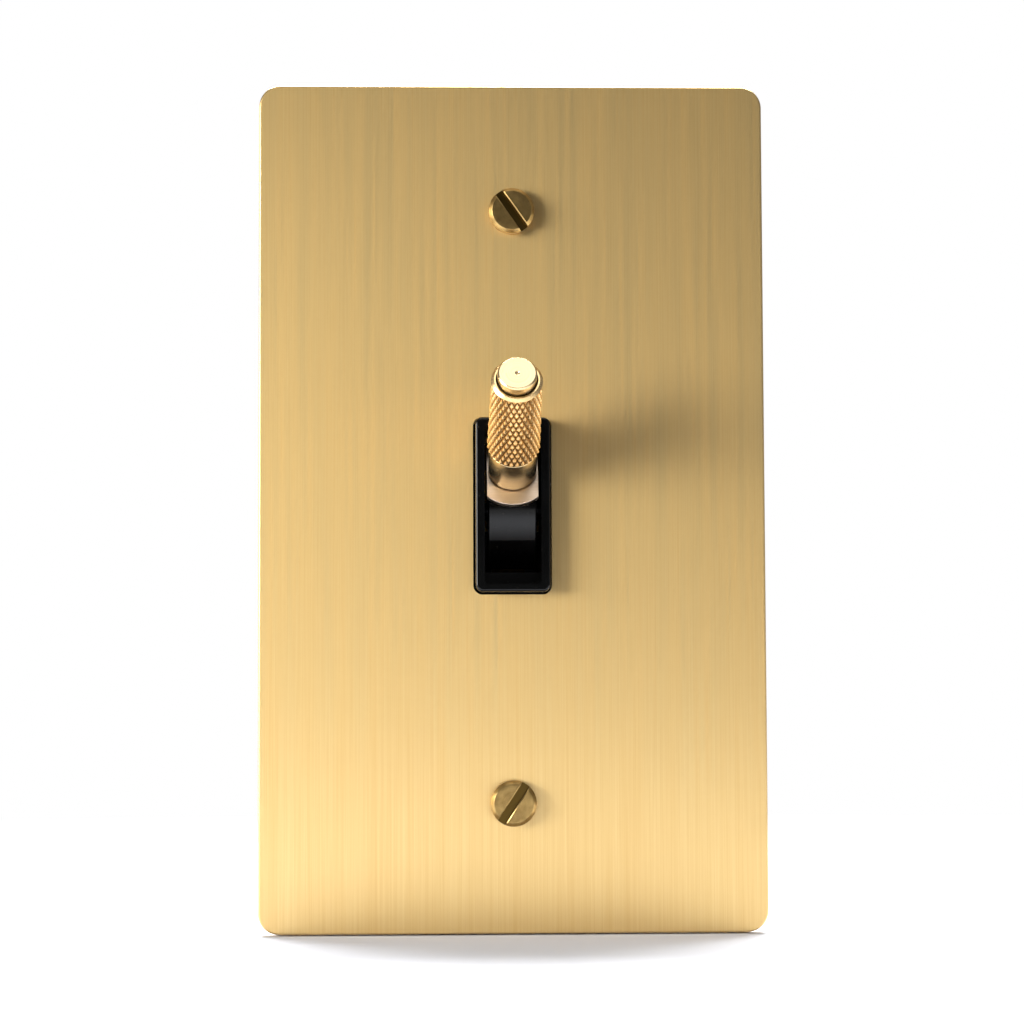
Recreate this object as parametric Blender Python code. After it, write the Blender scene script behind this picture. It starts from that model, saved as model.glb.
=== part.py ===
"""A toggle wall switch: a solid brass plate with a knurled brass lever, and the switch behind it.

Units are metres, +Z up. +X is right as seen from the room, and +Y goes into the wall.
The origin is the centre of the plate's back face, which lies against the wall.
"""

from math import cos, pi, radians, sin, sqrt

import bmesh
import bpy
from mathutils import Matrix, Vector

GAP = 0.0003  # between pieces that touch or bear on each other

# Cover plate
PLATE_WIDTH = 0.0713
PLATE_HEIGHT = 0.1195
PLATE_THICK = 0.003
PLATE_CORNER = 0.0030
PLATE_EDGE = 0.0003
BOX_SCREW_PITCH = 0.08334
STUD_PITCH = 0.06033
PAST = 0.001  # how far a cutter runs on beyond the face that it opens

# 6-32 machine screws, studs and nuts
THREAD_R = 0.00175
CLEAR_R = 0.00205
LOOSE_R = 0.00225
SCREW_HEAD_R = 0.0032
SCREW_HEAD_HIGH = 0.0016
SCREW_HEAD_CHAMFER = 0.00045
SCREW_SLOT = 0.0012
SLOT_DEEP = 0.0009
SLOT_LONG = 0.010
SCREW_END = 0.020
STUD_HEAD_R = 0.0025
STUD_HEAD_HIGH = 0.0009
STUD_END = 0.008
NUT_FLATS = 0.00635
NUT_HIGH = 0.0027
WASHER_R = 0.0031
WASHER_THICK = 0.0008
WASHER_SPLIT_END = 0.004

# Steel mounting strap behind the plate
STRAP_FRONT = GAP
STRAP_BACK = 0.0019
STRAP_HALF_LENGTH = 0.0532
STRAP_HALF_WAIST = 0.0125
STRAP_WAIST_TO = 0.0330
STRAP_HALF_EAR = 0.0165
STRAP_EAR_FROM = 0.0370
STRAP_EAR_TO = 0.0495
STRAP_EAR_CLIP = 0.0040
STRAP_SLOT = (0.0088, 0.0044)
EAR_SCORE = (0.0012, 0.0065)
EAR_SCORE_AT = (0.0118, 0.0462)
EAR_SCORE_CORNER = 0.0005

# Moulded body: the collar that passes through the plate, and the two housings
COLLAR_WIDTH = 0.01045
COLLAR_HEIGHT = 0.0244
COLLAR_CORNER = 0.001
COLLAR_FRONT = -0.00575
COLLAR_EDGE = 0.00035
SLOT_WIDTH = 0.0079
SLOT_HEIGHT = 0.0222
SLOT_FLOOR = 0.0025
SLOT_CORNER = 0.0006
SLOT_LIP = 0.00025
BODY_WIDTH = 0.026
BODY_HEIGHT = 0.0516
BODY_CORNER = 0.002
BODY_FRONT = STRAP_BACK + GAP
BODY_SPLIT = 0.011
BODY_BACK = 0.027
BODY_FLOOR = 0.025
BODY_BACK_EDGE = 0.0008
BODY_ROOT = BODY_FLOOR + 0.0005  # where posts and shelves grow from the floor
CAVITY_WIDE = (0.0109, 0.0186)
CAVITY_TALL = (0.0068, 0.0236)
CAVITY_WALL = 0.0105
RIVET_X = 0.010
RIVET_Z = 0.0223
RIVET_R = 0.0012
RIVET_HEAD_R = 0.0022
RIVET_HEAD_HIGH = 0.0006
RIVET_SINK = 0.00095

# Toggle: distances along the lever are counted from the pivot
PIVOT_Y = 0.006
LEVER_ANGLE = radians(28)
PIN_R = 0.001
PIN_HALF = 0.008
PIN_CHAMFER = 0.0002
PIN_POST = (0.005, 0.008)
PIN_POST_HALF = 0.001
SKIRT_R = 0.0093
SKIRT_WALL = 0.002
SKIRT_HALF_WIDTH = 0.00345
SKIRT_HALF_ANGLE = radians(98)
SKIRT_ROOM = 0.0005
WEB_HALF = 0.0028
SEAT_AT = 0.0089
HUB_R = 0.0028
TAIL_R = 0.0023
TAIL_END = 0.010
BORE_R = 0.0016
BORE_FROM = 0.0034
SEAT_HALF = 0.004
FLANGE_FRONT = 0.01043
FLANGE_BACK = 0.0096
FLANGE_R = 0.00555
FLANGE_WIDTH = 0.0072
FLANGE_BOSS_R = 0.0025
LEVER_STUD_R = 0.0015
LEVER_STUD_SPAN = (0.005, 0.014)
LEVER_STUD_CHAMFER = 0.0003
STEM_R = 0.0034
CORE_R = 0.00267
GRIP_FROM = 0.0169
GRIP_TO = 0.0331
GRIP_FOOT_R = 0.00375
GRIP_TOP_R = 0.0035
GRIP_FOOT_CHAMFER = 0.00015
GRIP_TOP_CHAMFER = 0.0004
GRIP_BORE_R = CORE_R + 0.0002
TIP_AT = 0.03465
TIP_CHAMFER = 0.00025
TIP_CENTRE_R = 0.0003
TIP_CENTRE_DEEP = 0.0002

# Spring plunger in the toggle's tail
SPRING_R = 0.0011
SPRING_WIRE = 0.00032
SPRING_SPAN = (0.00375, 0.0072)
SPRING_TURNS = 5
PLUNGER_R = 0.0013
PLUNGER_SHOULDER = 0.0076
PLUNGER_TIP = 0.0122
PLUNGER_PILOT_R = 0.0006
PLUNGER_PILOT_FROM = 0.0062

# Contact seesaw: its own frame has its fulcrum at the origin
FULCRUM_Y = 0.0197
SEESAW_TILT = radians(5)
SEESAW_THICK = 0.0008
SEESAW_HALF_WIDTH = 0.0024
DISH_R = 0.0098
DISH_FRONT = -0.0012
DISH_HALF_ANGLE = radians(45)
WING_END = 0.0136
FULCRUM_ROD_R = 0.0006
FULCRUM_ROD_HALF = 0.0043
FULCRUM_RIB_INSET = 0.0004
CONTACT_Z = -0.012
CONTACT_R = 0.0016
CONTACT_THICK = 0.0008
CONTACT_SHANK_R = 0.0006
CONTACT_HOLE_R = 0.0009
CONTACT_HEAD_R = 0.0013
CONTACT_HEAD_HIGH = 0.0004
CONTACT_EDGE = (0.0002, 0.0004)

# Terminals
SHEET = 0.0008
TERMINAL_Z = 0.012
TERMINAL_SCREW_Y = 0.0165
TERMINAL_HALF = 0.003
TERMINAL_HEAD_R = 0.0033
TERMINAL_HEAD_HIGH = 0.0018
TERMINAL_HEAD_CHAMFER = (0.0006, 0.0009)
TERMINAL_SCREW_FROM = 0.0117
TERMINAL_SCREW_POINT = 0.0004
BINDING_SLOT = 0.0011
TAB_HALF = 0.0035
TAB_FRONT = 0.0125
TAB_HOLE_SPAN = (0.012, 0.015)
LOAD_PLATE_Y = 0.0197
LINE_PLATE_Y = 0.0216
FIXED_CONTACT_Y = 0.0188
LOAD_PLATE_X = -0.0028
LOAD_SHELF = ((-0.004, -0.0155), (0.0115, -0.0085))
LINE_SHELF = ((-0.004, -0.0025), (0.0038, 0.0155))
CRADLE = (0.0030, 0.0038)
CRADLE_HALF = 0.0022
CLAMP_HALF = 0.0034
GROUND_AT = (0.010, -0.042)
GROUND_HEAD_HIGH = 0.0020
GROUND_HEAD_CHAMFER = (0.0005, 0.0007)
GROUND_WASHER_HALF = 0.0036

MATERIALS = {
    "brushed_brass": ((0.62, 0.42, 0.17), 0.34, 1.0),
    "aged_brass": ((0.35, 0.24, 0.09), 0.42, 1.0),
    "turned_brass": ((0.72, 0.52, 0.28), 0.25, 1.0),
    "pale_brass": ((0.80, 0.66, 0.47), 0.38, 1.0),
    "black_plastic": ((0.008, 0.008, 0.009), 0.16, 0.0),
    "housing_plastic": ((0.012, 0.012, 0.013), 0.45, 0.0),
    "zinc_steel": ((0.55, 0.56, 0.58), 0.38, 1.0),
    "spring_steel": ((0.42, 0.42, 0.44), 0.28, 1.0),
    "strip_brass": ((0.66, 0.48, 0.20), 0.35, 1.0),
    "silver_alloy": ((0.78, 0.78, 0.76), 0.30, 1.0),
    "acetal": ((0.78, 0.76, 0.70), 0.42, 0.0),
    "green_steel": ((0.02, 0.22, 0.06), 0.35, 0.3),
}


def clear_scene():
    """Remove every object of the startup scene."""
    for obj in list(bpy.data.objects):
        bpy.data.objects.remove(obj, do_unlink=True)


def material(name):
    """Return the named Principled BSDF material, made on first use."""
    found = bpy.data.materials.get(name)
    if found:
        return found
    colour, roughness, metallic = MATERIALS[name]
    made = bpy.data.materials.new(name)
    made.use_nodes = True
    shader = made.node_tree.nodes["Principled BSDF"]
    shader.inputs["Base Color"].default_value = (*colour, 1.0)
    shader.inputs["Roughness"].default_value = roughness
    shader.inputs["Metallic"].default_value = metallic
    made.diffuse_color = (*colour, 1.0)
    return made


def axis_empty(name, location, tilt):
    """An empty on a joint's axis, turned about X, that carries the pieces of one moving body."""
    empty = bpy.data.objects.new(name, None)
    empty.location = location
    empty.rotation_euler = (tilt, 0.0, 0.0)
    empty.empty_display_size = 0.005
    bpy.context.collection.objects.link(empty)
    return empty


def add_object(name, bm, finish=None, parent=None):
    """Turn a bmesh into an object. With no finish it is a hidden cutter."""
    bmesh.ops.recalc_face_normals(bm, faces=bm.faces)
    mesh = bpy.data.meshes.new(name)
    bm.to_mesh(mesh)
    bm.free()
    obj = bpy.data.objects.new(name, mesh)
    bpy.context.collection.objects.link(obj)
    obj.parent = parent
    if finish is None:
        obj.hide_render = True
        obj.display_type = "WIRE"
    else:
        mesh.materials.append(material(finish))
        mesh.shade_smooth()
        mesh.set_sharp_from_angle(angle=radians(35))
    return obj


def boolean(obj, other, operation):
    """Add one exact Boolean modifier to obj."""
    modifier = obj.modifiers.new(other.name, "BOOLEAN")
    modifier.operation = operation
    modifier.solver = "EXACT"
    modifier.object = other


def cut(obj, *cutters):
    """Subtract each cutter from obj."""
    for cutter in cutters:
        boolean(obj, cutter, "DIFFERENCE")


def join(obj, *others):
    """Unite each helper solid with obj."""
    for other in others:
        boolean(obj, other, "UNION")


def box(name, low, high, finish=None, parent=None):
    """A block between two corners."""
    bm = bmesh.new()
    bmesh.ops.create_cube(bm, size=1.0)
    size = Vector(high) - Vector(low)
    place = Matrix.Translation((Vector(high) + Vector(low)) / 2) @ Matrix.Diagonal((*size, 1))
    bmesh.ops.transform(bm, matrix=place, verts=bm.verts)
    return add_object(name, bm, finish, parent)


def bridge_rings(bm, rings):
    """Close a solid over a list of rings of equal length, with a cap on each end."""
    loops = [[bm.verts.new(point) for point in ring] for ring in rings]
    for lower, upper in zip(loops, loops[1:]):
        for i in range(len(lower)):
            j = (i + 1) % len(lower)
            bm.faces.new((lower[i], lower[j], upper[j], upper[i]))
    bm.faces.new(loops[0])
    bm.faces.new(reversed(loops[-1]))


def prism(name, outline, span, finish=None, parent=None, along="Y"):
    """Extrude an outline. Along Y its points are (x, z); along X they are (y, z)."""
    place = {"Y": lambda a, b, t: (a, t, b), "X": lambda a, b, t: (t, a, b)}[along]
    bm = bmesh.new()
    bridge_rings(bm, [[place(a, b, t) for a, b in outline] for t in span])
    return add_object(name, bm, finish, parent)


def rounded_outline(width, height, corner, steps):
    """The points of a rectangle with round corners, centred on the origin."""
    points = []
    for turn, (side, up) in enumerate(((1, 1), (-1, 1), (-1, -1), (1, -1))):
        centre = (side * (width / 2 - corner), up * (height / 2 - corner))
        for step in range(steps + 1):
            angle = turn * pi / 2 + step / steps * pi / 2
            points.append((centre[0] + corner * cos(angle), centre[1] + corner * sin(angle)))
    return points


def slab(name, size, corner, levels, finish=None, at=(0.0, 0.0), steps=4):
    """A round-cornered block in depth steps: levels holds (y, inset) from front to back."""
    rings = []
    for y, inset in levels:
        outline = rounded_outline(size[0] - 2 * inset, size[1] - 2 * inset, corner - inset, steps)
        rings.append([(at[0] + x, y, at[1] + z) for x, z in outline])
    bm = bmesh.new()
    bridge_rings(bm, rings)
    return add_object(name, bm, finish)


def soft_edge(front, edge, steps=3):
    """The (y, inset) levels of a rounded front edge of the given radius."""
    angles = [step / steps * pi / 2 for step in range(steps, -1, -1)]
    return [(front + edge * (1 - sin(a)), edge * (1 - cos(a))) for a in angles]


def turned(name, profile, finish=None, parent=None, origin=(0, 0, 0), along="Y", segments=24):
    """Turn a profile of (distance, radius) pairs about an axis. A radius of 0 is a point on the axis."""
    turn = {"Y": Matrix.Identity(4), "X": Matrix.Rotation(-pi / 2, 4, "Z")}[along]
    bm = bmesh.new()
    loops = []
    for distance, radius in profile:
        if radius == 0:
            loops.append([bm.verts.new((0, distance, 0))])
            continue
        angles = [2 * pi * i / segments for i in range(segments)]
        loops.append([bm.verts.new((radius * cos(a), distance, radius * sin(a))) for a in angles])
    for lower, upper in zip(loops, loops[1:]):
        for i in range(segments):
            j = (i + 1) % segments
            below = [lower[i % len(lower)], lower[j % len(lower)]]
            above = [upper[j % len(upper)], upper[i % len(upper)]]
            bm.faces.new(list(dict.fromkeys(below + above)))
    for loop in (loops[0], loops[-1]):
        if len(loop) > 1:
            bm.faces.new(loop)
    bmesh.ops.transform(bm, matrix=Matrix.Translation(origin) @ turn, verts=bm.verts)
    return add_object(name, bm, finish, parent)


def rod(name, radius, span, at=(0.0, 0.0), along="Y", parent=None, segments=20):
    """A plain cutter cylinder. Along Y, at is (x, z); along X, at is (y, z)."""
    origin = {"Y": (at[0], 0, at[1]), "X": (0, at[0], at[1])}[along]
    profile = [(span[0], radius), (span[1], radius)]
    return turned(name, profile, None, parent, origin, along, segments)


def wall_plate():
    """Solid brass plate with a softened front edge."""
    levels = soft_edge(-PLATE_THICK, PLATE_EDGE) + [(0, 0)]
    size = (PLATE_WIDTH, PLATE_HEIGHT)
    plate = slab("wall_plate", size, PLATE_CORNER, levels, "brushed_brass", steps=6)
    cut(plate, collar_hole("plate_opening", -PLATE_THICK - GAP, GAP))
    for side in (1, -1):
        hole_z = side * BOX_SCREW_PITCH / 2
        pocket_z = side * STUD_PITCH / 2
        cut(plate, rod(f"plate_hole_{side}", LOOSE_R, (-PLATE_THICK - PAST, PAST), (0, hole_z)))
        pocket_span = (-STUD_HEAD_HIGH - 2 * GAP, PAST)
        cut(plate, rod(f"plate_pocket_{side}", STUD_HEAD_R + GAP, pocket_span, (0, pocket_z)))


def collar_hole(name, front, back):
    """A cutter that leaves room for the collar."""
    size = (COLLAR_WIDTH + 2 * GAP, COLLAR_HEIGHT + 2 * GAP)
    return slab(name, size, COLLAR_CORNER + GAP, [(front, 0), (back, 0)])


def slot_cutter(name, centre, turn, width, axis):
    """The block that cuts a screwdriver slot. Its long side is turned about the screw's axis."""
    bm = bmesh.new()
    bmesh.ops.create_cube(bm, size=1.0)
    size = {"Y": (SLOT_LONG, 2 * SLOT_DEEP, width), "X": (2 * SLOT_DEEP, SLOT_LONG, width)}[axis]
    place = Matrix.Translation(centre) @ Matrix.Rotation(turn, 4, axis) @ Matrix.Diagonal((*size, 1))
    bmesh.ops.transform(bm, matrix=place, verts=bm.verts)
    return add_object(name, bm)


def plate_screw(name, z, slot_turn):
    """Slotted cheese-head screw through the plate and the strap into the wall box."""
    seat = -PLATE_THICK - GAP
    front = seat - SCREW_HEAD_HIGH
    profile = [
        (front, SCREW_HEAD_R - SCREW_HEAD_CHAMFER),
        (front + SCREW_HEAD_CHAMFER, SCREW_HEAD_R),
        (seat, SCREW_HEAD_R),
        (seat, THREAD_R),
        (SCREW_END - THREAD_R / 2, THREAD_R),
        (SCREW_END, THREAD_R / 2),
    ]
    screw = turned(name, profile, "aged_brass", origin=(0, 0, z))
    cut(screw, slot_cutter(name + "_slot", (0, front, z), slot_turn, SCREW_SLOT, "Y"))


def plate_stud(name, z):
    """Threaded stud set in a blind pocket in the plate's back."""
    profile = [
        (-STUD_HEAD_HIGH - GAP, STUD_HEAD_R),
        (-GAP, STUD_HEAD_R),
        (-GAP, THREAD_R),
        (STUD_END - THREAD_R / 2, THREAD_R),
        (STUD_END, THREAD_R / 2),
    ]
    turned(name, profile, "strip_brass", origin=(0, 0, z))


def stud_washer(name, z):
    """Split spring washer under a stud's nut."""
    front = STRAP_BACK + GAP
    back = front + WASHER_THICK
    washer = turned(name, [(front, WASHER_R), (back, WASHER_R)], "spring_steel", origin=(0, 0, z))
    cut(washer, rod(name + "_bore", CLEAR_R, (front - GAP, back + PAST), (0, z)))
    cut(washer, box(name + "_split", (0, front - GAP, z - GAP), (WASHER_SPLIT_END, back + PAST, z + GAP)))


def stud_nut(name, z):
    """Hexagon nut with two flats facing up and down, so that it clears the body."""
    front = STRAP_BACK + WASHER_THICK + 2 * GAP
    corner = NUT_FLATS / sqrt(3)
    outline = [(corner * cos(pi / 3 * i), z + corner * sin(pi / 3 * i)) for i in range(6)]
    nut = prism(name, outline, (front, front + NUT_HIGH), "zinc_steel")
    cut(nut, rod(name + "_bore", CLEAR_R, (front - GAP, front + NUT_HIGH + GAP), (0, z)))


def strap_outline():
    """Narrow waist beside the body, wide ears at both ends with clipped corners."""
    quarter = [
        (STRAP_HALF_WAIST, STRAP_WAIST_TO),
        (STRAP_HALF_EAR, STRAP_EAR_FROM),
        (STRAP_HALF_EAR, STRAP_EAR_TO),
        (STRAP_HALF_EAR - STRAP_EAR_CLIP, STRAP_HALF_LENGTH),
    ]
    right = quarter + [(-x, z) for x, z in reversed(quarter)]
    return right + [(-x, -z) for x, z in right]


def mounting_strap():
    """Zinc-plated steel strap that carries the switch body."""
    strap = prism("mounting_strap", strap_outline(), (STRAP_FRONT, STRAP_BACK), "zinc_steel")
    through = (STRAP_FRONT - GAP, STRAP_BACK + GAP)
    cut(strap, collar_hole("strap_window", *through))
    for side in (1, -1):
        levels = [(through[0], 0), (through[1], 0)]
        at = (0, side * BOX_SCREW_PITCH / 2)
        cut(strap, slab(f"strap_slot_{side}", STRAP_SLOT, STRAP_SLOT[1] / 2 - GAP / 4, levels, at=at))
        cut(strap, rod(f"strap_stud_hole_{side}", CLEAR_R, through, (0, side * STUD_PITCH / 2)))
        for edge in (1, -1):
            at = (edge * EAR_SCORE_AT[0], side * EAR_SCORE_AT[1])
            cut(strap, slab(f"ear_score_{side}_{edge}", EAR_SCORE, EAR_SCORE_CORNER, levels, at=at))
            at = (edge * RIVET_X, side * RIVET_Z)
            cut(strap, rod(f"rivet_hole_{side}_{edge}", RIVET_R + GAP, through, at, segments=12))
            sink = (through[0], STRAP_FRONT + RIVET_SINK)
            cut(strap, rod(f"rivet_sink_{side}_{edge}", RIVET_HEAD_R + GAP, sink, at, segments=12))
    cut(strap, rod("ground_hole", CLEAR_R, through, GROUND_AT))


def cut_rivet_holes(obj, prefix, span):
    """Four rivet holes through a housing's corners."""
    for side in (1, -1):
        for edge in (1, -1):
            at = (edge * RIVET_X, side * RIVET_Z)
            cut(obj, rod(f"{prefix}_{side}_{edge}", RIVET_R + GAP, span, at, segments=12))


def front_housing():
    """Black moulding: the collar with its lever slot, and the toggle's bearings behind it."""
    levels = [(BODY_FRONT, 0), (BODY_SPLIT, 0)]
    housing = slab("front_housing", (BODY_WIDTH, BODY_HEIGHT), BODY_CORNER, levels, "black_plastic")
    neck_levels = soft_edge(COLLAR_FRONT, COLLAR_EDGE) + [(BODY_FRONT + PAST, 0)]
    join(housing, slab("collar", (COLLAR_WIDTH, COLLAR_HEIGHT), COLLAR_CORNER, neck_levels))
    flare = [(COLLAR_FRONT - SLOT_LIP, -2 * SLOT_LIP), (COLLAR_FRONT + SLOT_LIP, 0)]
    cut(housing, slab("lever_slot", (SLOT_WIDTH, SLOT_HEIGHT), SLOT_CORNER, flare + [(SLOT_FLOOR, 0)]))
    pocket_r = SKIRT_R + SKIRT_ROOM
    half_slot = SLOT_WIDTH / 2 - 0.00001  # a hair inside the slot's walls, so no two faces coincide
    pivot = (PIVOT_Y, 0)
    cut(housing, rod("skirt_pocket", pocket_r, (-half_slot, half_slot), pivot, "X", segments=64))
    back = BODY_SPLIT + GAP
    cut(housing, box("pocket_back", (-half_slot, PIVOT_Y, -pocket_r), (half_slot, back, pocket_r)))
    bearing_r = PIN_R + GAP
    bearing_half = PIN_HALF + GAP
    cut(housing, rod("pin_bearing", bearing_r, (-bearing_half, bearing_half), pivot, "X"))
    low = (-bearing_half, PIVOT_Y, -bearing_r)
    cut(housing, box("pin_entry", low, (bearing_half, back, bearing_r)))
    cut_rivet_holes(housing, "front_rivet_hole", (BODY_FRONT - GAP, back))


def rear_housing():
    """Moulded cup that closes the body and carries the terminals."""
    front = BODY_SPLIT + GAP
    levels = [(front, 0), (BODY_BACK - BODY_BACK_EDGE, 0), (BODY_BACK, BODY_BACK_EDGE)]
    cup = slab("rear_housing", (BODY_WIDTH, BODY_HEIGHT), BODY_CORNER, levels, "housing_plastic")
    mouth = front - GAP
    for name, (x, z) in (("cavity_wide", CAVITY_WIDE), ("cavity_tall", CAVITY_TALL)):
        cut(cup, box(name, (-x, mouth, -z), (x, BODY_FLOOR, z)))
    for side in (1, -1):
        inner, outer = sorted((side * PIN_POST[0], side * PIN_POST[1]))
        low = (inner, PIVOT_Y + PIN_R + GAP, -PIN_POST_HALF)
        join(cup, box(f"pin_post_{side}", low, (outer, BODY_ROOT, PIN_POST_HALF)))
    for name, plate_y, ends in (("load", LOAD_PLATE_Y, LOAD_SHELF), ("line", LINE_PLATE_Y, LINE_SHELF)):
        (low_x, low_z), (high_x, high_z) = ends
        low = (low_x, plate_y + SHEET + GAP, low_z)
        join(cup, box(f"{name}_shelf", low, (high_x, BODY_ROOT, high_z)))
    recess = (LOAD_PLATE_Y + SHEET, LOAD_PLATE_Y + SHEET + GAP + PAST)
    cut(cup, rod("contact_recess", CONTACT_HEAD_R + GAP, recess, (0, CONTACT_Z)))
    wall = (CAVITY_WALL, BODY_WIDTH / 2 + GAP)
    for plate_y, z in ((LOAD_PLATE_Y, -TERMINAL_Z), (LINE_PLATE_Y, TERMINAL_Z)):
        half = TERMINAL_HALF + GAP
        low = (wall[0], plate_y - GAP, z - half)
        high = (wall[1], plate_y + SHEET + GAP, z + half)
        cut(cup, box(f"terminal_exit_{plate_y}", low, high))
        cut(cup, rod(f"screw_well_{plate_y}", LOOSE_R, wall, (TERMINAL_SCREW_Y, z), "X"))
    cut_rivet_holes(cup, "rear_rivet_hole", (mouth, BODY_BACK + GAP))


def housing_rivet(name, x, z):
    """Rivet through strap and housings, sunk in the strap and headed over at the back."""
    front = STRAP_FRONT + GAP / 6
    back = BODY_BACK + GAP
    profile = [
        (front, RIVET_HEAD_R),
        (front + RIVET_HEAD_HIGH, RIVET_HEAD_R),
        (front + RIVET_HEAD_HIGH, RIVET_R),
        (back, RIVET_R),
        (back, RIVET_HEAD_R),
        (back + RIVET_HEAD_HIGH * 2 / 3, RIVET_HEAD_R),
        (back + RIVET_HEAD_HIGH * 4 / 3, RIVET_HEAD_R * 0.6),
    ]
    turned(name, profile, "zinc_steel", origin=(x, 0, z), segments=12)


def skirt_arc():
    """Outline of the toggle's curved skirt, seen along the pivot, front at -Y."""
    count = 28
    angles = [SKIRT_HALF_ANGLE * (2 * i / count - 1) for i in range(count + 1)]
    inner_r = SKIRT_R - SKIRT_WALL
    outer = [(-SKIRT_R * cos(a), SKIRT_R * sin(a)) for a in angles]
    inner = [(-inner_r * cos(a), inner_r * sin(a)) for a in reversed(angles)]
    return outer + inner


def toggle_rocker(axis):
    """Black moulded rocker: curved skirt, web, hub and a hollow tail for the plunger."""
    half = SKIRT_HALF_WIDTH
    rocker = prism("toggle_rocker", skirt_arc(), (-half, half), "black_plastic", axis, "X")
    web_half = half - 0.0002
    low = (-web_half, SKIRT_WALL / 2 - SKIRT_R, -WEB_HALF)
    join(rocker, box("rocker_web", low, (web_half, 0, WEB_HALF), None, axis))
    hub_half = half - 0.0001
    join(rocker, rod("rocker_hub", HUB_R, (-hub_half, hub_half), along="X", parent=axis))
    join(rocker, rod("rocker_tail", TAIL_R, (0, TAIL_END), parent=axis))
    seat_low = (-half - PAST, -SKIRT_R - PAST, -SEAT_HALF)
    cut(rocker, box("lever_seat", seat_low, (half + PAST, -SEAT_AT, SEAT_HALF), None, axis))
    stud_hole = (-SKIRT_R - GAP, -LEVER_STUD_SPAN[0] + GAP)
    cut(rocker, rod("lever_stud_hole", LEVER_STUD_R + GAP, stud_hole, parent=axis))
    cut(rocker, rod("pin_hole", PIN_R + GAP, (-half - PAST, half + PAST), along="X", parent=axis))
    cut(rocker, rod("plunger_bore", BORE_R, (BORE_FROM, TAIL_END + GAP), parent=axis))


def pivot_pin():
    """Steel pin that the rocker turns on."""
    profile = [
        (-PIN_HALF, PIN_R - PIN_CHAMFER),
        (-PIN_HALF + PIN_CHAMFER, PIN_R),
        (PIN_HALF - PIN_CHAMFER, PIN_R),
        (PIN_HALF, PIN_R - PIN_CHAMFER),
    ]
    turned("pivot_pin", profile, "spring_steel", origin=(0, PIVOT_Y, 0), along="X", segments=24)


def lever_flange(axis):
    """Round disc with two flats, under the lever, with a boss that seats on the rocker."""
    profile = [
        (-FLANGE_FRONT, FLANGE_R),
        (-FLANGE_BACK, FLANGE_R),
        (-FLANGE_BACK, FLANGE_BOSS_R),
        (-SEAT_AT - GAP, FLANGE_BOSS_R),
    ]
    flange = turned("lever_flange", profile, "pale_brass", axis, segments=64)
    beyond = FLANGE_R + PAST
    for side in (1, -1):
        low, high = sorted((side * FLANGE_WIDTH / 2, side * beyond))
        low_corner = (low, -FLANGE_FRONT - GAP, -beyond)
        cut(flange, box(f"flange_flat_{side}", low_corner, (high, -SEAT_AT, beyond), None, axis))
    cut(flange, rod("flange_hole", LEVER_STUD_R + GAP, (-FLANGE_FRONT - GAP, -SEAT_AT), parent=axis))


def lever_stud(axis):
    """Grub screw that joins the rocker, the flange and the lever."""
    start, end = LEVER_STUD_SPAN
    chamfer = LEVER_STUD_CHAMFER
    profile = [
        (-end, LEVER_STUD_R - chamfer),
        (-end + chamfer, LEVER_STUD_R),
        (-start - chamfer, LEVER_STUD_R),
        (-start, LEVER_STUD_R - chamfer),
    ]
    turned("lever_stud", profile, "zinc_steel", axis, segments=24)


def lever_stem(axis):
    """Turned brass stem: a collar below the grip, a core through it and the tip above it."""
    foot = FLANGE_FRONT + GAP
    shoulder = GRIP_FROM - GAP
    profile = [
        (-TIP_AT + TIP_CENTRE_DEEP, 0),
        (-TIP_AT, TIP_CENTRE_R),
        (-TIP_AT, CORE_R - TIP_CHAMFER),
        (-TIP_AT + TIP_CHAMFER, CORE_R),
        (-shoulder, CORE_R),
        (-shoulder, STEM_R),
        (-foot, STEM_R),
    ]
    stem = turned("lever_stem", profile, "turned_brass", axis, segments=48)
    bore = (-LEVER_STUD_SPAN[1] - GAP, -foot + GAP)
    cut(stem, rod("stem_bore", LEVER_STUD_R + GAP, bore, parent=axis))


def knurled_grip(axis):
    """Brass sleeve that holds the knurl, a little slimmer at the top and chamfered at both ends."""
    profile = [
        (-GRIP_TO, GRIP_TOP_R - GRIP_TOP_CHAMFER),
        (-GRIP_TO + GRIP_TOP_CHAMFER, GRIP_TOP_R),
        (-GRIP_FROM - GRIP_FOOT_CHAMFER, GRIP_FOOT_R),
        (-GRIP_FROM, GRIP_FOOT_R - GRIP_FOOT_CHAMFER),
    ]
    grip = turned("knurled_grip", profile, "turned_brass", axis, segments=48)
    bore = (-GRIP_TO - GAP, -GRIP_FROM + GAP)
    cut(grip, rod("grip_bore", GRIP_BORE_R, bore, parent=axis, segments=48))


def plunger_spring(axis):
    """Compression spring between the bore's end and the plunger."""
    curve = bpy.data.curves.new("plunger_spring", "CURVE")
    curve.dimensions = "3D"
    curve.bevel_depth = SPRING_WIRE / 2
    curve.bevel_resolution = 1
    curve.use_fill_caps = True
    steps = 12 * SPRING_TURNS
    spline = curve.splines.new("POLY")
    spline.points.add(steps)
    start, end = SPRING_SPAN
    for i, point in enumerate(spline.points):
        angle = 2 * pi * SPRING_TURNS * i / steps
        y = start + (end - start) * i / steps
        point.co = (SPRING_R * cos(angle), y, SPRING_R * sin(angle), 1)
    curve.materials.append(material("spring_steel"))
    spring = bpy.data.objects.new("plunger_spring", curve)
    spring.parent = axis
    bpy.context.collection.objects.link(spring)


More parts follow.
